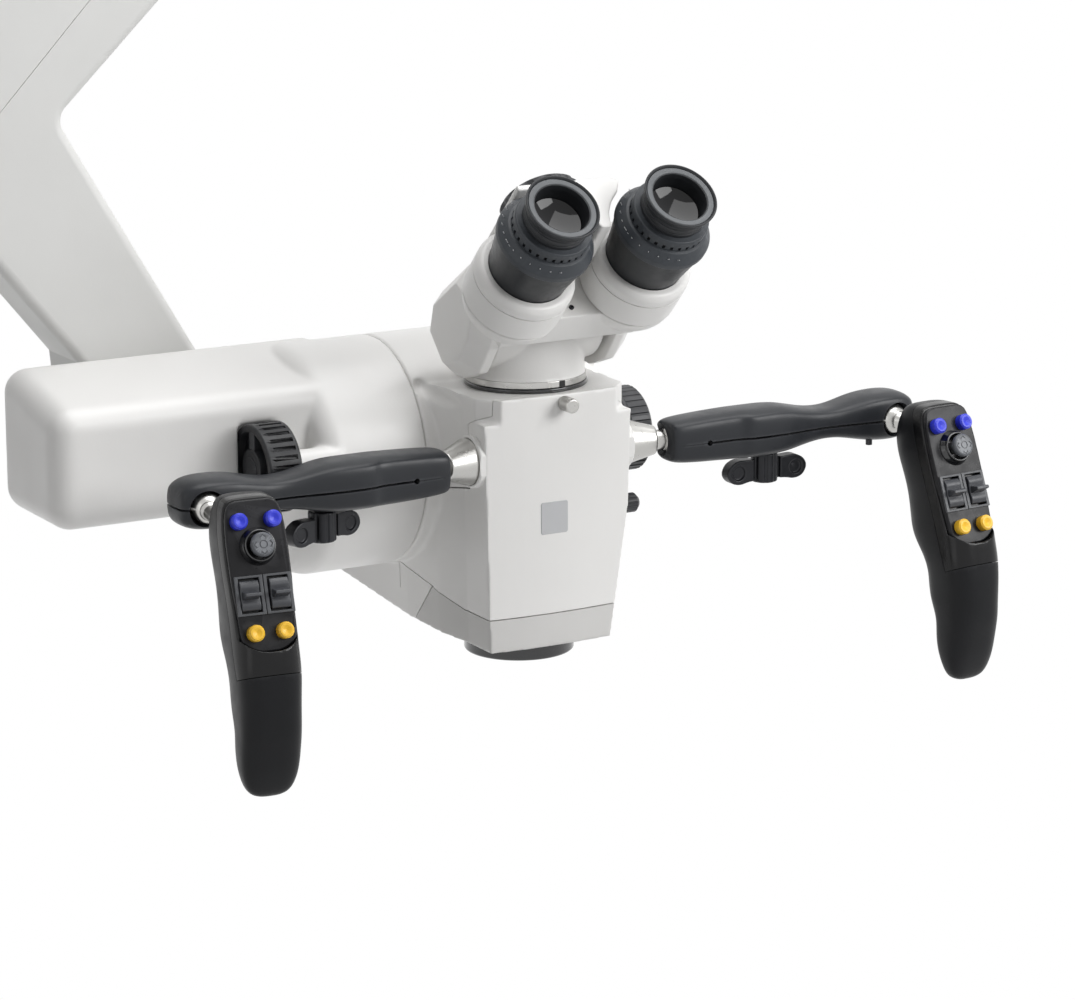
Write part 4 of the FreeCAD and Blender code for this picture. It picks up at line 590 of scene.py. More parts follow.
def tube_head_shape():
    eye_middle = eye_place(0)
    shape = moved(slab(-38, 38, -15, 22, -94, -HEAD_FRONT), eye_middle)
    for x in (-EYE_HALF, EYE_HALF):
        root = turned([(-95, 0), (-95, 10.0), (-80, 24.0, 5.0), (-HEAD_FRONT, 25.2, 0.5), (-HEAD_FRONT, 0)],
                      96)
        shape = carved(shape, moved(root, eye_place(x)), "UNION")
    roof = solid_of([(-38.3, 26.1), (-38.3, 29.4), (13.0, 29.4, 3.0), (17.6, 26.6, 1.0), (17.3, 24.0),
                     (-8, 20), (-16, 23.6), (-24, 26.1)], 45, -94)
    shape = carved(shape, moved(roof, eye_middle), "UNION")
    plate = solid_of([(-38.3, 26.1), (-38.3, 29.4), (13.0, 29.4, 3.0), (17.6, 26.6, 1.0), (14.4, 20.6),
                      (9.0, 15.5, 2.0), (4.4, 8, 2.0), (3.0, 0, 1.5), (-3.0, 0, 1.5), (-4.4, 8, 2.0), (-9,
                                                                                                       15.5,
                                                                                                       2.0),
                      (-14.4, 20.6, 2.0), (-19, 24.4), (-24, 26.1)], 28.8, -49.8)
    shape = carved(shape, moved(plate, eye_middle), "UNION")
    swing = turned([(-CHEEK_IN, 0), (-CHEEK_IN, 29.0), (CHEEK_IN, 29.0), (CHEEK_IN, 0)], 96)
    shape = carved(shape, moved(swing, stood((0, BARREL_Y, BARREL_Z), X_AXIS)))
    for side in SIDES:
        shape = carved(shape, cheek(side), "UNION")
    return shape


made(cast(tube_head_shape(), 0.55, 6), "tube_head_skin", "tube", "cover_white", replaces=("tube_head",))
gap_screw = turned([(0, 0), (0, 1.3, 0.2), (0.9, 1.3, 0.2), (0.9, 0.7), (0.3, 0.6), (0.3, 0)], 32)
made(gap_screw, "head_gap_screw", "tube", "black_metal",
     place=eye_place(0) @ Matrix.Translation(GAP_SCREW_AT))

# Eye distance knob
KNOB_PLACE = stood(on_eye(-11.0, 49.0, 30.5), EYE_UP)
KNOB_FLUTES = 14
knob = turned([(0, 0), (0, 19.6, 0.6), (1.4, 20.9, 0.6), (8.6, 20.9, 1.4), (10.4, 18.2, 1.0), (10.1, 13.0,
                                                                                               0.5),
               (10.1, 0)], 120)
flutes = []
for index in range(KNOB_FLUTES):
    turn = Matrix.Rotation(2 * math.pi * index / KNOB_FLUTES, 4, "Z")
    flutes.append(moved(turned([(-1, 0), (-1, 5.0), (12, 5.0), (12, 0)], 32),
                        turn @ Matrix.Translation((24.3, 0, 0))))
knob = soft_edges(carved(knob, joined(*flutes)), 0.35, 2, 35)
made(knob, "distance_knob_skin", "eye_distance", "knob_black", place=KNOB_PLACE, replaces=("pd_knob",))

# Seat and tube ring
seat = turned([(0, 20), (0, 31, 0.4), (2.2, 31, 0.7), (2.2, 20)], 128)
made(seat, "seat_ring", "microscope", "rim_gloss", replaces=("dovetail_seat",), slot="rubber_black")
tube_ring = turned([(2.3, 25), (2.3, 30.3, 0.3), (5.7, 30.3, 0.5), (5.7, 25)], 128)
made(tube_ring, "tube_ring", "microscope", "satin_steel")
RING_MARK_TURN = math.radians(-82.0)
mark = solid_of([(30.1, -1.7), (30.45, -1.7), (30.45, 1.7), (30.1, 1.7)], 2.9, 2.55)
made(moved(mark, Matrix.Rotation(RING_MARK_TURN, 4, "Z")), "tube_ring_mark", "microscope", "hole_black")
CLAMP_AT = Vector((2.0, -36.0, -4.5))
screw = turned([(0, 0), (0, 3.7, 0.3), (2.2, 3.7), (2.6, 3.4), (3.2, 3.4), (3.6, 3.7), (9, 3.7, 0.9), (9,
                                                                                                       2.6),
                (8.8, 2.4), (8.8, 0)], 64)
made(screw, "clamp_screw_head", "clamp", "satin_steel", place=stood(CLAMP_AT, (0, -1, 0)),
     replaces=("clamp_screw",))

# Blank plate on the front
PLATE_AT = (-3.5, -34.9, -62.0)
badge = solid_of([(-7.6, -8.2, 1.2), (7.6, -8.2, 1.2), (7.6, 8.2, 1.2), (-7.6, 8.2, 1.2)], 1.0, 0.0)
made(soft_edges(badge, 0.3, 3, 40), "blank_plate", "microscope", "plate_grey",
     place=stood(PLATE_AT, (0, -1, 0)), slot="collar_grey")

# Objective
OBJECTIVE_PLACE = Matrix.Translation((0, 8, 0))
rim = turned([(-139.5, 25), (-139.5, 27.2, 0.5), (-138.6, 28, 0.5), (-128.3, 28, 0.4), (-128.3, 25.9),
              (-104, 25.9), (-104, 22.5), (-137.5, 22.5), (-139.2, 24.4)], 128)
made(rim, "objective_rim", "microscope", "rim_gloss", place=OBJECTIVE_PLACE, replaces=("objective_barrel",),
     slot="black_metal")

# Eyepieces
HOLES = 30
TICK_STEP = math.radians(13.0)
INDEX_TURN = math.radians(186.0)
CONE_TILT = math.atan2(3.5, 5.0)


def on_cone(turn, along, side, length, width, thick=0.14):
    """A small raised bar on the scale's cone, along its slope and across it."""
    bar = slab(side - width / 2, side + width / 2, -thick, thick, along - length / 2, along + length / 2)
    lean = Matrix.Rotation(-CONE_TILT, 4, "X")
    return moved(bar, Matrix.Rotation(turn - math.pi / 2, 4, "Z") @ Matrix.Translation((0, 22.65,
                                                                                        -21.8)) @ lean)


for side, x in (("left", -EYE_HALF), ("right", EYE_HALF)):
    place = eye_place(x)
    cup = turned([(-12.4, 13.5), (-12.4, 16.4, 0.3), (-10.4, 16.4), (-10.1, 16.0), (-9.7, 16.0), (-9.4,
                                                                                                  16.4),
                  (-7.4, 16.4), (-7.1, 16.0), (-6.7, 16.0), (-6.4, 16.4), (-4.6, 16.6, 1.2), (-2.2, 18.45,
                                                                                              0.8),
                  (-0.2, 18.65, 0.3), (0, 18.0, 0.3), (-0.9, 17.2, 0.3), (-1.6, 17.1), (-1.6, 13.9), (-4.5,
                                                                                                      13.5,
                                                                                                      0.3)],
                 128)
    made(cup, "eyecup_skin_" + side, "dioptre_" + side, "rubber_black", place=place,
         replaces=("eyecup_" + side,))
    lip = turned([(-1.7, 14.2), (-1.2, 14.4, 0.2), (-0.95, 15.3), (-0.9, 17.0, 0.2), (-1.7, 17.2)], 128)
    made(lip, "eyecup_lip_" + side, "dioptre_" + side, "lip_grey", place=place, slot="rubber_black")
    wheel = turned([(-12.5, 14), (-12.5, 19.2, 0.4), (-13.3, 19.6, 0.3), (-19.0, 19.6), (-19.3, 20.9, 0.3),
                    (-24.3, 24.4, 0.6), (-27.4, 24.4, 0.4), (-27.5, 16.4), (-19.1, 16.4), (-19.1, 14)], 144)
    pockets = []
    shade_floors = []
    for index in range(HOLES):
        turn = Matrix.Rotation(2 * math.pi * index / HOLES, 4, "Z")
        pockets.append(moved(slab(18.2, 20.4, -0.75, 0.75, -18.3, -16.1), turn))
        # Painted shade: black floors sit at the bottom of the wheel's holes so that the holes look dark.
        shade_floors.append(moved(slab(17.9, 18.4, -0.7, 0.7, -18.25, -16.15), turn))
    made(carved(wheel, joined(*pockets)), "dioptre_wheel_" + side, "dioptre_" + side, "scale_grey",
         place=place,
         replaces=("dioptre_ring_" + side,), slot="black_metal")
    made(joined(*shade_floors), "dioptre_hole_shade_" + side, "dioptre_" + side, "hole_black", place=place)
    inks = [on_cone(INDEX_TURN + TICK_STEP * step, 0.6, 0.0, 2.6, 0.26) for step in range(-5, 7) if step]
    inks += [on_cone(INDEX_TURN, 0.3, 0.0, 3.4, 0.3), on_cone(INDEX_TURN, -0.2, -1.5, 0.3, 1.2),
             on_cone(INDEX_TURN, -0.2, 1.6, 0.3, 1.3), on_cone(INDEX_TURN, -0.2, 1.6, 1.3, 0.3)]
    made(joined(*inks), "dioptre_marks_" + side, "dioptre_" + side, "ink_white", place=place)
    sleeve = turned([(-19.4, 12), (-19.4, 16.3), (-27.8, 16.3), (-27.8, 23.6, 0.5), (-51.4, 19.6, 0.4),
                     (-51.5, 17.6), (-65.5, 17.6), (-65.5, 12)], 128)
    made(sleeve, "sleeve_" + side, "eye_" + side, "sleeve_dark", place=place,
         replaces=("eyepiece_barrel_" + side,), slot="black_metal")
    glass = turned([(-13.0, 0), (-12.6, 5.0), (-11.6, 9.4), (-10.2, 12.6), (-12.3, 13.3), (-15, 13.3), (-15,
                                                                                                        0)],
                   96)
    made(glass, "eye_glass_" + side, "eye_" + side, "lens_glass", place=place)
    ocular = turned([(-50, 20.2), (-50, 23.0, 1.0), (-51.8, 25.4, 2.0), (-57.1, 25.4), (-57.15, 24.6),
                     (-57.65, 24.6), (-57.7, 25.4), (-72.9, 25.4, 0.8), (-72.9, 12),
                     (-65.8, 12), (-65.8, 17.7), (-51.7, 17.7), (-51.7, 20.2)], 128)
    made(ocular, "ocular_skin_" + side, "eye_" + side, "cover_white", place=place,
         replaces=("ocular_housing_" + side,))

# Handle arms
ARM_START = INNER_BALL.x - 7.814
ARM_Y = INNER_BALL.y - 2.771
ARM_Z = -32.0
SLIT_Z = OUTER_BALL.z
ARM_SOFT = 1.8
BALL_R = 8
BALL_ROOM_R = 8.35
SLIT_HALF = 0.6
PARTING_HALF = 0.2
SLIT_END_R = 1.5
LIP_AT = (37.6, -21.0, -31.9)
BELL_SCREW_AT = (OUTER_BALL.x - 12, ARM_Y - 6.0, ARM_Z - 10.6)
ARM_STATIONS = [
    # along, top, bottom, front, back
    (0.2, 9.0, 8.6, 8.8, 9.2), (1.6, 10.6, 10.2, 10.0, 11.0), (6.0, 11.4, 11.2, 10.8, 12.4),
    (20.0, 12.2, 12.0, 11.2, 13.2), (33.0, 12.6, 12.4, 11.4, 13.6), (40.0, 12.8, 12.5, 11.6, 13.6),
    (44.0, 12.8, 12.6, 13.6, 13.6), (50.0, 12.8, 12.6, 13.9, 13.6), (60.0, 12.8, 12.4, 13.8, 13.6),
    (68.0, 12.2, 11.6, 13.4, 13.2), (76.0, 10.4, 10.0, 12.4, 12.2), (84.0, 8.6, 8.4, 11.4, 11.0),
    (92.0, 7.9, 7.8, 11.0, 10.8), (100.0, 8.4, 8.2, 11.4, 11.2), (109.0, 10.6, 10.0, 12.6, 12.4),
    (117.0, 12.2, 11.6, 13.2, 13.0), (125.0, 12.8, 12.4, 13.6, 13.4), (133.0, 12.8, 12.4, 13.4, 13.2),
    (139.0, 11.8, 11.4, 12.4, 12.2), (143.0, 9.8, 9.6, 10.6, 10.6), (145.0, 7.0, 7.0, 8.2, 8.2)]


def arm_corners(top, bottom, front, back):
    """The arm's section: a bar with a sloped top, crisp front edges and a rounder back."""
    return [Vector((-front, top * 0.80)), Vector((-front * 0.42, top)), Vector((back * 0.62, top)),
            Vector((back, top * 0.62)), Vector((back, -bottom * 0.62)), Vector((back * 0.62, -bottom)),
            Vector((-front * 0.55, -bottom)), Vector((-front, -bottom * 0.72))]


def arm_blank():
    corners = len(arm_corners(1, 1, 1, 1))
    rim_count = 2 * corners
    shape = bmesh.new()
    bmesh.ops.create_circle(shape, cap_ends=False, segments=rim_count, radius=1.0)
    shape.verts.ensure_lookup_table()
    rings = [shape.verts[:]]
    rim = shape.edges[:]
    for _ in ARM_STATIONS[1:]:
        grown = bmesh.ops.extrude_edge_only(shape, edges=rim)["geom"]
        fresh = [item for item in grown if isinstance(item, bmesh.types.BMVert)]
        bmesh.ops.translate(shape, vec=(0, 0, 1), verts=fresh)
        rim = [item for item in grown if isinstance(item, bmesh.types.BMEdge)
               and all(vert in fresh for vert in item.verts)]
        rings.append(fresh)
    for ring, (along, top, bottom, front, back) in zip(rings, ARM_STATIONS):
        outline = arm_corners(top, bottom, front, back)
        for vert in ring:
            spot = round((math.atan2(vert.co.y,
                                     vert.co.x) % (2 * math.pi)) / (2 * math.pi) * rim_count) % rim_count
            corner = outline[spot // 2]
            beside = outline[(spot // 2 + (1 if spot % 2 else -1)) % corners]
            place = corner + (beside - corner).normalized() * ARM_SOFT
            vert.co = (ARM_START + along, ARM_Y + place.x, ARM_Z + place.y)
    bmesh.ops.holes_fill(shape, edges=[edge for edge in shape.edges if edge.is_boundary], sides=0)
    bmesh.ops.recalc_face_normals(shape, faces=shape.faces)
    return through(shape, ("SUBSURF", {"levels": 3, "render_levels": 3}))


def outer_opening():
    """The round bell that the outer ball shows in."""
    shape = turned([(0, 0), (0, 8.4), (7.6, 9.6, 1.2), (13.0, 14.5), (20, 15.5), (20, 0)], 64)
    turned_out = Matrix.Rotation(GRIP_TURN_OUT, 4, "Z") @ GRIP_DIR
    return moved(shape, stood(OUTER_BALL, turned_out))


def handle_arm_shape():
    shape = arm_blank()
    shape = carved(shape, ball(BALL_ROOM_R, Matrix.Translation(INNER_BALL)))
    inner = turned([(0, 0), (0, 5.5), (8.0, 8.6, 0.5), (14, 10.6), (14, 0)], 64)
    shape = carved(shape, moved(inner, stood(INNER_BALL, SOCKET_DIR * -1)))
    shape = carved(shape, ball(BALL_ROOM_R, Matrix.Translation(OUTER_BALL)))
    shape = carved(shape, outer_opening())
    slit_x = INNER_BALL.x + 12.7
    slit = slab(slit_x, ARM_START + 150, -80, 20, SLIT_Z - SLIT_HALF, SLIT_Z + SLIT_HALF)
    shape = carved(shape, slit)
    hole = turned([(0, 0), (0, SLIT_END_R), (100, SLIT_END_R), (100, 0)], 32)
    shape = carved(shape, moved(hole, stood((slit_x, -80, SLIT_Z), Y_AXIS)))
    parting = slab(ARM_START - 2, slit_x, -60, ARM_Y - 10.4, SLIT_Z - PARTING_HALF, SLIT_Z + PARTING_HALF)
    shape = carved(shape, parting)
    return shape


for side in SIDES:
    place = side_place(side)
    cone = turned([(-3, 0), (-3, 11.7), (0.4, 11.7, 0.5), (1.2, 11.3), (9.5, 8.8, 3.0), (15.5, 7.2, 0.9),
                   (15.5, 0)], 96)
    made(cone, "socket_cone_" + side, "microscope", "satin_steel", place=place @ stood(SOCKET_BASE,
                                                                                       SOCKET_DIR),
         replaces=("handle_sockets",))
    lip = turned([(-1.5, 0), (-1.5, 13.4), (6.4, 13.4, 1.3), (6.4, 11.9, 0.5), (5.4, 11.9), (5.4, 0)], 96)
    lip = carved(moved(lip, stood(LIP_AT, X_AXIS)), slab(20, 60, -50, -33.5, -60, 0))
    made(lip, "socket_lip_" + side, "microscope", "cover_white", place=place)
    stud = turned([(2.8, 0), (2.8, 5), (26, 5), (26, 0)], 64)
    moved(stud, stood(SOCKET_BASE, SOCKET_DIR))
    made(joined(stud, ball(BALL_R, Matrix.Translation(INNER_BALL))), "inner_stud_skin_" + side,
         "inner_stud_" + side, "satin_steel", place=place, replaces=("inner_ball_stud_" + side,))
    made(handle_arm_shape(), "handle_arm_skin_" + side, "handle_" + side, "handle_grey", place=place,
         replaces=("handle_arm_" + side,), sharp=34.0)
    knurl = turned([(-3.4, 0), (-3.4, 1.7, 0.2), (0.6, 1.7), (0.6, 0)], 24)
    made(knurl, "bell_screw_" + side, "handle_" + side, "black_metal",
         place=place @ Matrix.Translation(BELL_SCREW_AT), slot="black_metal")

# Wing knobs
WING_AT = Vector((INNER_BALL.x + 55.686, INNER_BALL.y + 3.729, INNER_BALL.z - 29.1))
WING_TURN = {"right": 0.0, "left": math.radians(-20.0)}
PADDLE = [(-17, 12.9, 2), (-23.6, 9.6, 4), (-23.6, 2.4, 4), (-17, -0.4, 3), (-9, 1.6, 4), (0, 0.4, 3), (9,
                                                                                                        1.6,
                                                                                                        4),
          (17, -0.4, 3), (23.6, 2.4, 4), (23.6, 9.6, 4), (17, 12.9, 2), (8, 12.4, 2), (-8, 12.4, 2)]


def wing_knob_shape():
    upright = Matrix((X_AXIS, Z_AXIS, -Y_AXIS)).transposed().to_4x4()
    blade = moved(solid_of(PADDLE, 6.8, -3.4), upright)
    hub = turned([(0, 0), (0, 6.9, 0.9), (15.3, 6.9, 0.9), (15.3, 0)], 64)
    shape = carved(blade, hub, "UNION")
    for x in (-17, 17):
        for face in (-1, 1):
            dimple = turned([(2.2, 0), (2.2, 3.6, 0.5), (6, 4.2), (6, 0)], 48)
            shape = carved(shape, moved(dimple, stood((x, 0, 6.2), (0, face, 0))))
    for index in range(8):
        turn = math.pi / 4 * (index + 0.5)
        groove = turned([(-1, 0), (-1, 1.1), (17, 1.1), (17, 0)], 16)
        spot = Vector((math.cos(turn), math.sin(turn), 0)) * 7.3
        shape = carved(shape, moved(groove, Matrix.Translation(spot)))
    return cast(shape, 0.32, 4, 0.5)


for side in SIDES:
    turn = Matrix.Rotation(WING_TURN[side], 4, "Z")
    stem = turned([(14, 0), (14, 4.0), (30, 4.0), (30, 0)], 48)
    made(joined(wing_knob_shape(), stem), "wing_knob_skin_" + side, "wing_" + side, "black_metal",
         place=side_place(side) @ Matrix.Translation(WING_AT) @ turn, replaces=("wing_knob_" + side,))

# Grips
GRIP_RINGS = [
    # height above the ball, half width, front and back of the ball
    (15.6, 9.0, -49.5, -34.5), (13.8, 13.0, -55.0, -28.5), (9.0, 14.8, -59.5, -25.0),
    (-1.0, 16.0, -64.1, -21.5), (-11.0, 16.2, -67.8, -23.5), (-21.0, 16.0, -71.5, -28.5),
    (-31.0, 15.6, -74.0, -32.0), (-41.0, 15.7, -76.5, -33.5), (-51.0, 16.0, -78.5, -35.5),
    (-59.0, 16.0, -80.0, -44.0), (-67.0, 15.7, -80.5, -49.0), (-75.0, 15.3, -81.0, -49.0),
    (-83.0, 15.2, -80.5, -51.0), (-91.0, 15.0, -80.0, -56.0), (-99.0, 15.0, -78.0, -56.0),
    (-107.0, 14.6, -76.5, -57.0), (-115.0, 13.4, -74.0, -60.5), (-124.0, 9.0, -70.5, -63.0)]
TRIGGER_ROOM = (5.8, 40.0, 7.8)  # half width, depth, half height
TRIGGER_DROP = 33.0
PANEL_LENGTH = 72.0
PANEL_END_R = 14.0
PANEL_T = 2.6
GLOSS_LENGTH = 83.0
GLOSS_DEEP = 9.0
GLOSS_GAP = 0.35
GRIP_KEEP = 0.4
STICK_DOWN = 22.8
ROCKER_DOWN = 45.3
ROCKER_SPREAD = 7.3
BEZEL_SPREAD = 7.05
BUTTON_SPOTS = ((8.3, 10.8), (7.2, 63.0))


def grip_section(height):
    """The grip's half width, middle and half depth at a height above the ball."""
    for high, low in zip(GRIP_RINGS, GRIP_RINGS[1:]):
        if high[0] >= height >= low[0]:
            share = (high[0] - height) / (high[0] - low[0])
            half, front, back = (a + (b - a) * share for a, b in zip(high[1:], low[1:]))
            return half, (front + back) / 2, (back - front) / 2
    half, front, back = GRIP_RINGS[0][1:]
    return half, (front + back) / 2, (back - front) / 2


def panel_half(down):
    """Half the panel's width at a distance down its slope, where the grip's skin meets it."""
    spot = PANEL_TOP + PANEL_DOWN * down - OUTER_BALL
    half, middle, deep = grip_section(spot.z)
    off = min(0.98, abs(spot.y - middle) / deep)
    width = half * (1 - off ** 3) ** (1 / 3)
    straight = PANEL_LENGTH - PANEL_END_R
    if down > straight:
        round_half = 2 + math.sqrt(max(0.0, PANEL_END_R ** 2 - (down - straight) ** 2))
        width = min(width, round_half)
    return width


def panel_outline():
    downs = [0.9, 1.8, 3.4, 6, 10, 15, 20, 26, 32, 38, 44, 50, 55, 58, 61, 64, 66.5, 68.6, 70.2, 71.3, 71.9]
    right_side = [(panel_half(down), -down) for down in downs]
    left_side = [(-x, y) for x, y in reversed(right_side)]
    return right_side + left_side


def panel_plate():
    shape = solid_of(panel_outline(), PANEL_T, -PANEL_T)
    bmesh.ops.recalc_face_normals(shape, faces=shape.faces)
    top_edges = [edge for edge in shape.edges if all(abs(vert.co.z) < 1e-4 for vert in edge.verts)]
    bmesh.ops.bevel(shape, geom=top_edges, offset=0.9, offset_type="OFFSET", segments=4, profile=0.5,
                    affect="EDGES", material=-1, clamp_overlap=True)
    for side in (-1, 1):
        well = slab(side * ROCKER_SPREAD - 5.1, side * ROCKER_SPREAD + 5.1, -ROCKER_DOWN - 8.4,
                    -ROCKER_DOWN + 8.4, -4, 3)
        shape = carved(shape, well)
        for spread, down in BUTTON_SPOTS:
            bore = turned([(-4, 0), (-4, 4.0), (2, 4.0), (2, 0)], 48)
            shape = carved(shape, moved(bore, Matrix.Translation((side * spread, -down, 0))))
    throat = turned([(-4, 0), (-4, 6.3), (2, 6.3), (2, 0)], 64)
    return carved(shape, moved(throat, Matrix.Translation((0, -STICK_DOWN, 0))))


def grip_block():
    sections = []
    for rise, half, front, back in reversed(GRIP_RINGS):
        sections.append((rise, half, (back - front) / 2, 0, (front + back) / 2, 3.0))
    shape = lofted(sections, 28)
    shape = through(shape, ("SUBSURF", {"levels": 2, "render_levels": 2}))
    place = Matrix.Translation((GRIP_X, OUTER_BALL.y, OUTER_BALL.z))
    bmesh.ops.scale(shape, vec=(1.012, 1.012, 1.0), verts=shape.verts,
                    space=Matrix.Translation((0, 56, 0)))
    return moved(shape, place)


def on_panel_cut(low, high, grow):
    """The space over the sloping panel, down to its rounded end."""
    straight = PANEL_LENGTH - PANEL_END_R
    outline = [(-30, 32), (-30, -straight), (-2 - PANEL_END_R - grow, -straight)]
    for step in range(1, 24):
        turn = math.pi + math.pi * step / 24
        side = -2 if step < 12 else 2
        outline.append((side + (PANEL_END_R + grow) * math.cos(turn),
                        -straight + (PANEL_END_R + grow) * math.sin(turn)))
    outline += [(2 + PANEL_END_R + grow, -straight), (30, -straight), (30, 32)]
    return moved(solid_of(outline, high - low, low), panel_place(0, 0, 0))


def grip_pieces():
    block = carved(grip_block(), on_panel_cut(-PANEL_T - 0.15, 30, 0.2))
    block = cast(block, 0.5, 3, 1.0)
    gloss_room = moved(slab(-30, 30, -GLOSS_LENGTH, 34, -GLOSS_DEEP, 30), panel_place(0, 0, 0))
    gloss_gap = moved(slab(-30, 30, -GLOSS_LENGTH - GLOSS_GAP, 34, -GLOSS_DEEP - GLOSS_GAP, 30),
                      panel_place(0, 0, 0))
    gloss = carved(block.copy(), gloss_room, "INTERSECT")
    handle = carved(block, gloss_gap)
    stem_room = turned([(0, 0), (0, 3.5), (36.4, 3.5), (36.4, 0)], 32)
    handle = carved(handle, moved(stem_room, stood(OUTER_BALL, GRIP_DIR)))
    half_wide, deep, half_high = TRIGGER_ROOM
    height = OUTER_BALL.z - TRIGGER_DROP
    slot = slab(GRIP_X - half_wide, GRIP_X + half_wide, OUTER_BALL.y - deep, OUTER_BALL.y,
                height - half_high, height + half_high)
    handle = carved(handle, slot)
    thinned = ("DECIMATE", {"ratio": GRIP_KEEP})
    return through(gloss, thinned), through(handle, thinned)


def collar_shape():
    return turned([(-0.6, 6.3), (-0.6, 9.2), (0.5, 8.9, 0.3), (2.9, 7.7, 0.4), (4.2, 7.5, 0.5), (4.2, 6.7,
                                                                                                 0.3),
                   (2.6, 6.3)], 96)


def bezel_shape(across):
    spot = Matrix.Translation((across, -ROCKER_DOWN, 0))
    frame_piece = moved(slab(-6.9, 6.9, -9.3, 9.3, -0.4, 1.0), spot)
    hole = moved(slab(-5.1, 5.1, -8.1, 8.1, -2, 3), spot)
    return soft_edges(carved(frame_piece, hole), 0.28, 2, 40)


def rocker_shape(across):
    """A rocker with a curved face and a raised blade across its middle."""
    turn = Matrix((Y_AXIS, Z_AXIS, X_AXIS)).transposed().to_4x4()
    body = [(-7.1, -1.3), (-7.1, 1.2, 0.7), (-4.6, 2.3, 1.2), (-1.6, 1.5, 0.8), (1.6, 1.8, 0.8), (4.6, 2.6,
                                                                                                  1.2),
            (7.1, 1.2, 0.7), (7.1, -1.3)]
    blade = [(-2.6, 0.0), (-1.9, 1.6, 0.6), (-1.2, 4.2, 0.6), (-0.8, 7.0, 0.4), (0.7, 7.0, 0.4), (1.3, 4.2,
                                                                                                  0.6),
             (2.0, 1.8, 0.6), (2.8, 0.0)]
    base = soft_edges(moved(solid_of(body, 9.4, -4.7), turn), 0.5, 3, 45)
    fin = soft_edges(moved(solid_of(blade, 7.6, -3.8), turn), 0.4, 3, 45)
    return moved(joined(base, fin), Matrix.Translation((across, -ROCKER_DOWN, 0)))


def stick_cap():
    cap = turned([(5.6, 0), (5.6, 5.6, 0.3), (6.4, 5.8), (8.0, 5.8, 0.7), (8.5, 4.9, 0.3), (8.5, 0)], 72)
    cuts = [turned([(8.2, 1.5), (8.2, 2.0), (9, 2.0), (9, 1.5)], 48)]
    for index in range(4):
        for lean in (-1, 1):
            bar = slab(-0.22, 1.9, -0.22, 0.22, 8.15, 9.0)
            spot = Matrix.Rotation(math.pi / 2 * index, 4, "Z") @ Matrix.Translation((4.5, 0, 0))
            cuts.append(moved(bar, spot @ Matrix.Rotation(math.pi + lean * math.radians(48), 4, "Z")))
    for cut in cuts:
        cap = carved(cap, cut)
    stem = turned([(-7, 0), (-7, 3.0), (5.8, 3.0), (5.8, 0)], 32)
    return joined(cap, stem)


for side in SIDES:
    place = grip_place(side)
    stem = turned([(0, 0), (0, 4.8), (6.9, 4.8, 0.5), (9.4, 3.4, 0.6), (36, 3.3), (36, 0)], 64)
    moved(stem, stood(OUTER_BALL, GRIP_DIR))
    made(joined(stem, ball(BALL_R, Matrix.Translation(OUTER_BALL))), "outer_stud_skin_" + side,
         "outer_stud_" + side, "satin_steel", place=place, replaces=("outer_ball_stud_" + side,))
    gloss, handle = grip_pieces()
    made(gloss, "grip_front_" + side, "grip_" + side, "gloss_black", place=place, slot="grip_black",
         sharp=50.0)
    made(handle, "grip_handle_" + side, "grip_" + side, "grip_black", place=place, sharp=50.0,
         replaces=("grip_shell_" + side,))
    on_face = place @ panel_place(0, 0, 0)
    made(panel_plate(), "panel_plate_" + side, "grip_" + side, "panel_grey", place=on_face,
         replaces=("grip_panel_" + side,))
    made(moved(collar_shape(), Matrix.Translation((0, -STICK_DOWN, 0))), "stick_collar_" + side,
         "grip_" + side,
         "rim_gloss", place=on_face, slot="panel_grey")
    made(joined(bezel_shape(-BEZEL_SPREAD), bezel_shape(BEZEL_SPREAD)), "rocker_bezels_" + side,
         "grip_" + side, "bezel_grey",
         place=on_face, slot="key_grey")
    made(moved(stick_cap(), Matrix.Translation((0, -STICK_DOWN, 0))), "stick_cap_" + side, "stick_" + side,
         "key_grey",
         place=on_face, replaces=("joystick_" + side,))
    for word, across in (("outer", ROCKER_SPREAD), ("inner", -ROCKER_SPREAD)):
        made(rocker_shape(across), "rocker_key_" + word + "_" + side, "rocker_" + word + "_" + side + "_key",
             "rocker_grey", place=on_face, replaces=("rocker_" + word + "_" + side,), slot="key_grey")

# Camera
SENSOR_MM = 36.0
FRAME_WIDTH_PX = 1075
FOCAL_PX = 4300
CAMERA_PLACE = Vector((-1.0144, -1.9610, 0.0715))
CAMERA_AZIMUTH = math.radians(29.0)
CAMERA_DOWN = math.radians(13.7)
CAMERA_ROLL = math.radians(-0.2)
look = Vector((math.sin(CAMERA_AZIMUTH) * math.cos(CAMERA_DOWN),
               math.cos(CAMERA_AZIMUTH) * math.cos(CAMERA_DOWN),
               -math.sin(CAMERA_DOWN)))
level = Vector((math.cos(CAMERA_AZIMUTH), -math.sin(CAMERA_AZIMUTH), 0))
lift = level.cross(look)
right = level * math.cos(CAMERA_ROLL) + lift * math.sin(CAMERA_ROLL)
above = lift * math.cos(CAMERA_ROLL) - level * math.sin(CAMERA_ROLL)
camera_data = bpy.data.cameras.new("camera")
camera_data.sensor_fit = "HORIZONTAL"
camera_data.sensor_width = SENSOR_MM
camera_data.lens = SENSOR_MM * FOCAL_PX / FRAME_WIDTH_PX
camera_data.clip_start = 0.05
camera_data.clip_end = 50.0
camera = bpy.data.objects.new("camera", camera_data)
scene.collection.objects.link(camera)
camera.matrix_world = Matrix.Translation(CAMERA_PLACE) @ Matrix((right, above, -look)).transposed().to_4x4()
scene.camera = camera

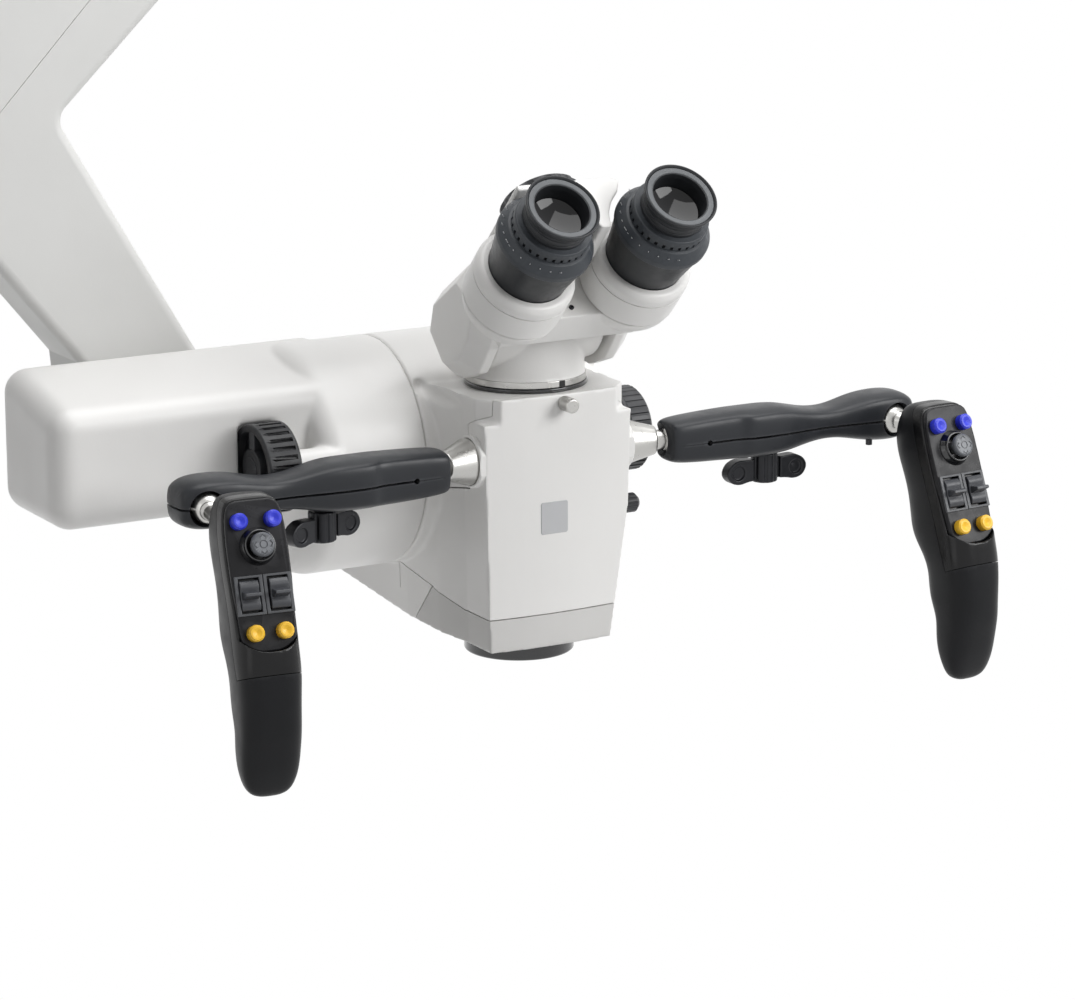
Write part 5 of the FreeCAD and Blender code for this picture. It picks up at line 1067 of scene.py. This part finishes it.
# Floor, light and background
FLOOR_Z = -1.35
scene.view_settings.view_transform = "Standard"
ground = bmesh.new()
bmesh.ops.create_grid(ground, x_segments=2, y_segments=2, size=14.0)
bmesh.ops.translate(ground, vec=(0, 0, FLOOR_Z), verts=ground.verts)
floor_mesh = bpy.data.meshes.new("floor")
ground.to_mesh(floor_mesh)
ground.free()
floor = bpy.data.objects.new("floor", floor_mesh)
scene.collection.objects.link(floor)

PAPER = tone(250, 250, 250)


def seen_rays(tree):
    """1 for the rays that show the white backdrop: straight, mirrored and through glass."""
    ray = tree.nodes.new("ShaderNodeLightPath")
    total = ray.outputs["Is Camera Ray"]
    for kind in ("Is Glossy Ray", "Is Transmission Ray"):
        either = tree.nodes.new("ShaderNodeMath")
        either.operation = "MAXIMUM"
        tree.links.new(total, either.inputs[0])
        tree.links.new(ray.outputs[kind], either.inputs[1])
        total = either.outputs["Value"]
    return total


floor_finish = bpy.data.materials.new("floor_paper")
floor_finish.use_nodes = True
tree = floor_finish.node_tree
paper = tree.nodes["Principled BSDF"]
paper.inputs["Base Color"].default_value = PAPER
paper.inputs["Roughness"].default_value = 0.9
glow = tree.nodes.new("ShaderNodeEmission")
glow.inputs["Color"].default_value = (1, 1, 1, 1)
glow.inputs["Strength"].default_value = 1.0
blend = tree.nodes.new("ShaderNodeMixShader")
tree.links.new(seen_rays(tree), blend.inputs["Fac"])
tree.links.new(paper.outputs["BSDF"], blend.inputs[1])
tree.links.new(glow.outputs["Emission"], blend.inputs[2])
tree.links.new(blend.outputs["Shader"], tree.nodes["Material Output"].inputs["Surface"])
floor_mesh.materials.append(floor_finish)

ROOM_LEVEL = 0.21
world = bpy.data.worlds.new("studio")
scene.world = world
world.use_nodes = True
tree = world.node_tree
room = tree.nodes["Background"]
room.inputs["Color"].default_value = (1, 1, 1, 1)
room.inputs["Strength"].default_value = ROOM_LEVEL
sky = tree.nodes.new("ShaderNodeBackground")
sky.inputs["Color"].default_value = (1, 1, 1, 1)
sky.inputs["Strength"].default_value = 1.0
blend = tree.nodes.new("ShaderNodeMixShader")
tree.links.new(seen_rays(tree), blend.inputs["Fac"])
tree.links.new(room.outputs["Background"], blend.inputs[1])
tree.links.new(sky.outputs["Background"], blend.inputs[2])
tree.links.new(blend.outputs["Shader"], tree.nodes["World Output"].inputs["Surface"])

AIM = Vector((0.0, -0.14, -0.40))
LAMPS = [("key", (1.2, -1.6, 0.45), 1.1, 1.1, 27.0), ("overhead", (0.3, -0.3, 1.1), 1.4, 1.2, 17.0),
         ("side_fill", (-1.8, -0.8, 0.0), 0.8, 1.2, 2.0)]
for name, spot, width, height, power in LAMPS:
    lamp_data = bpy.data.lights.new(name, "AREA")
    lamp_data.shape = "RECTANGLE"
    lamp_data.size = width
    lamp_data.size_y = height
    lamp_data.energy = power
    lamp = bpy.data.objects.new(name, lamp_data)
    scene.collection.objects.link(lamp)
    lamp.location = spot
    lamp.rotation_euler = (AIM - Vector(spot)).to_track_quat("-Z", "Y").to_euler()
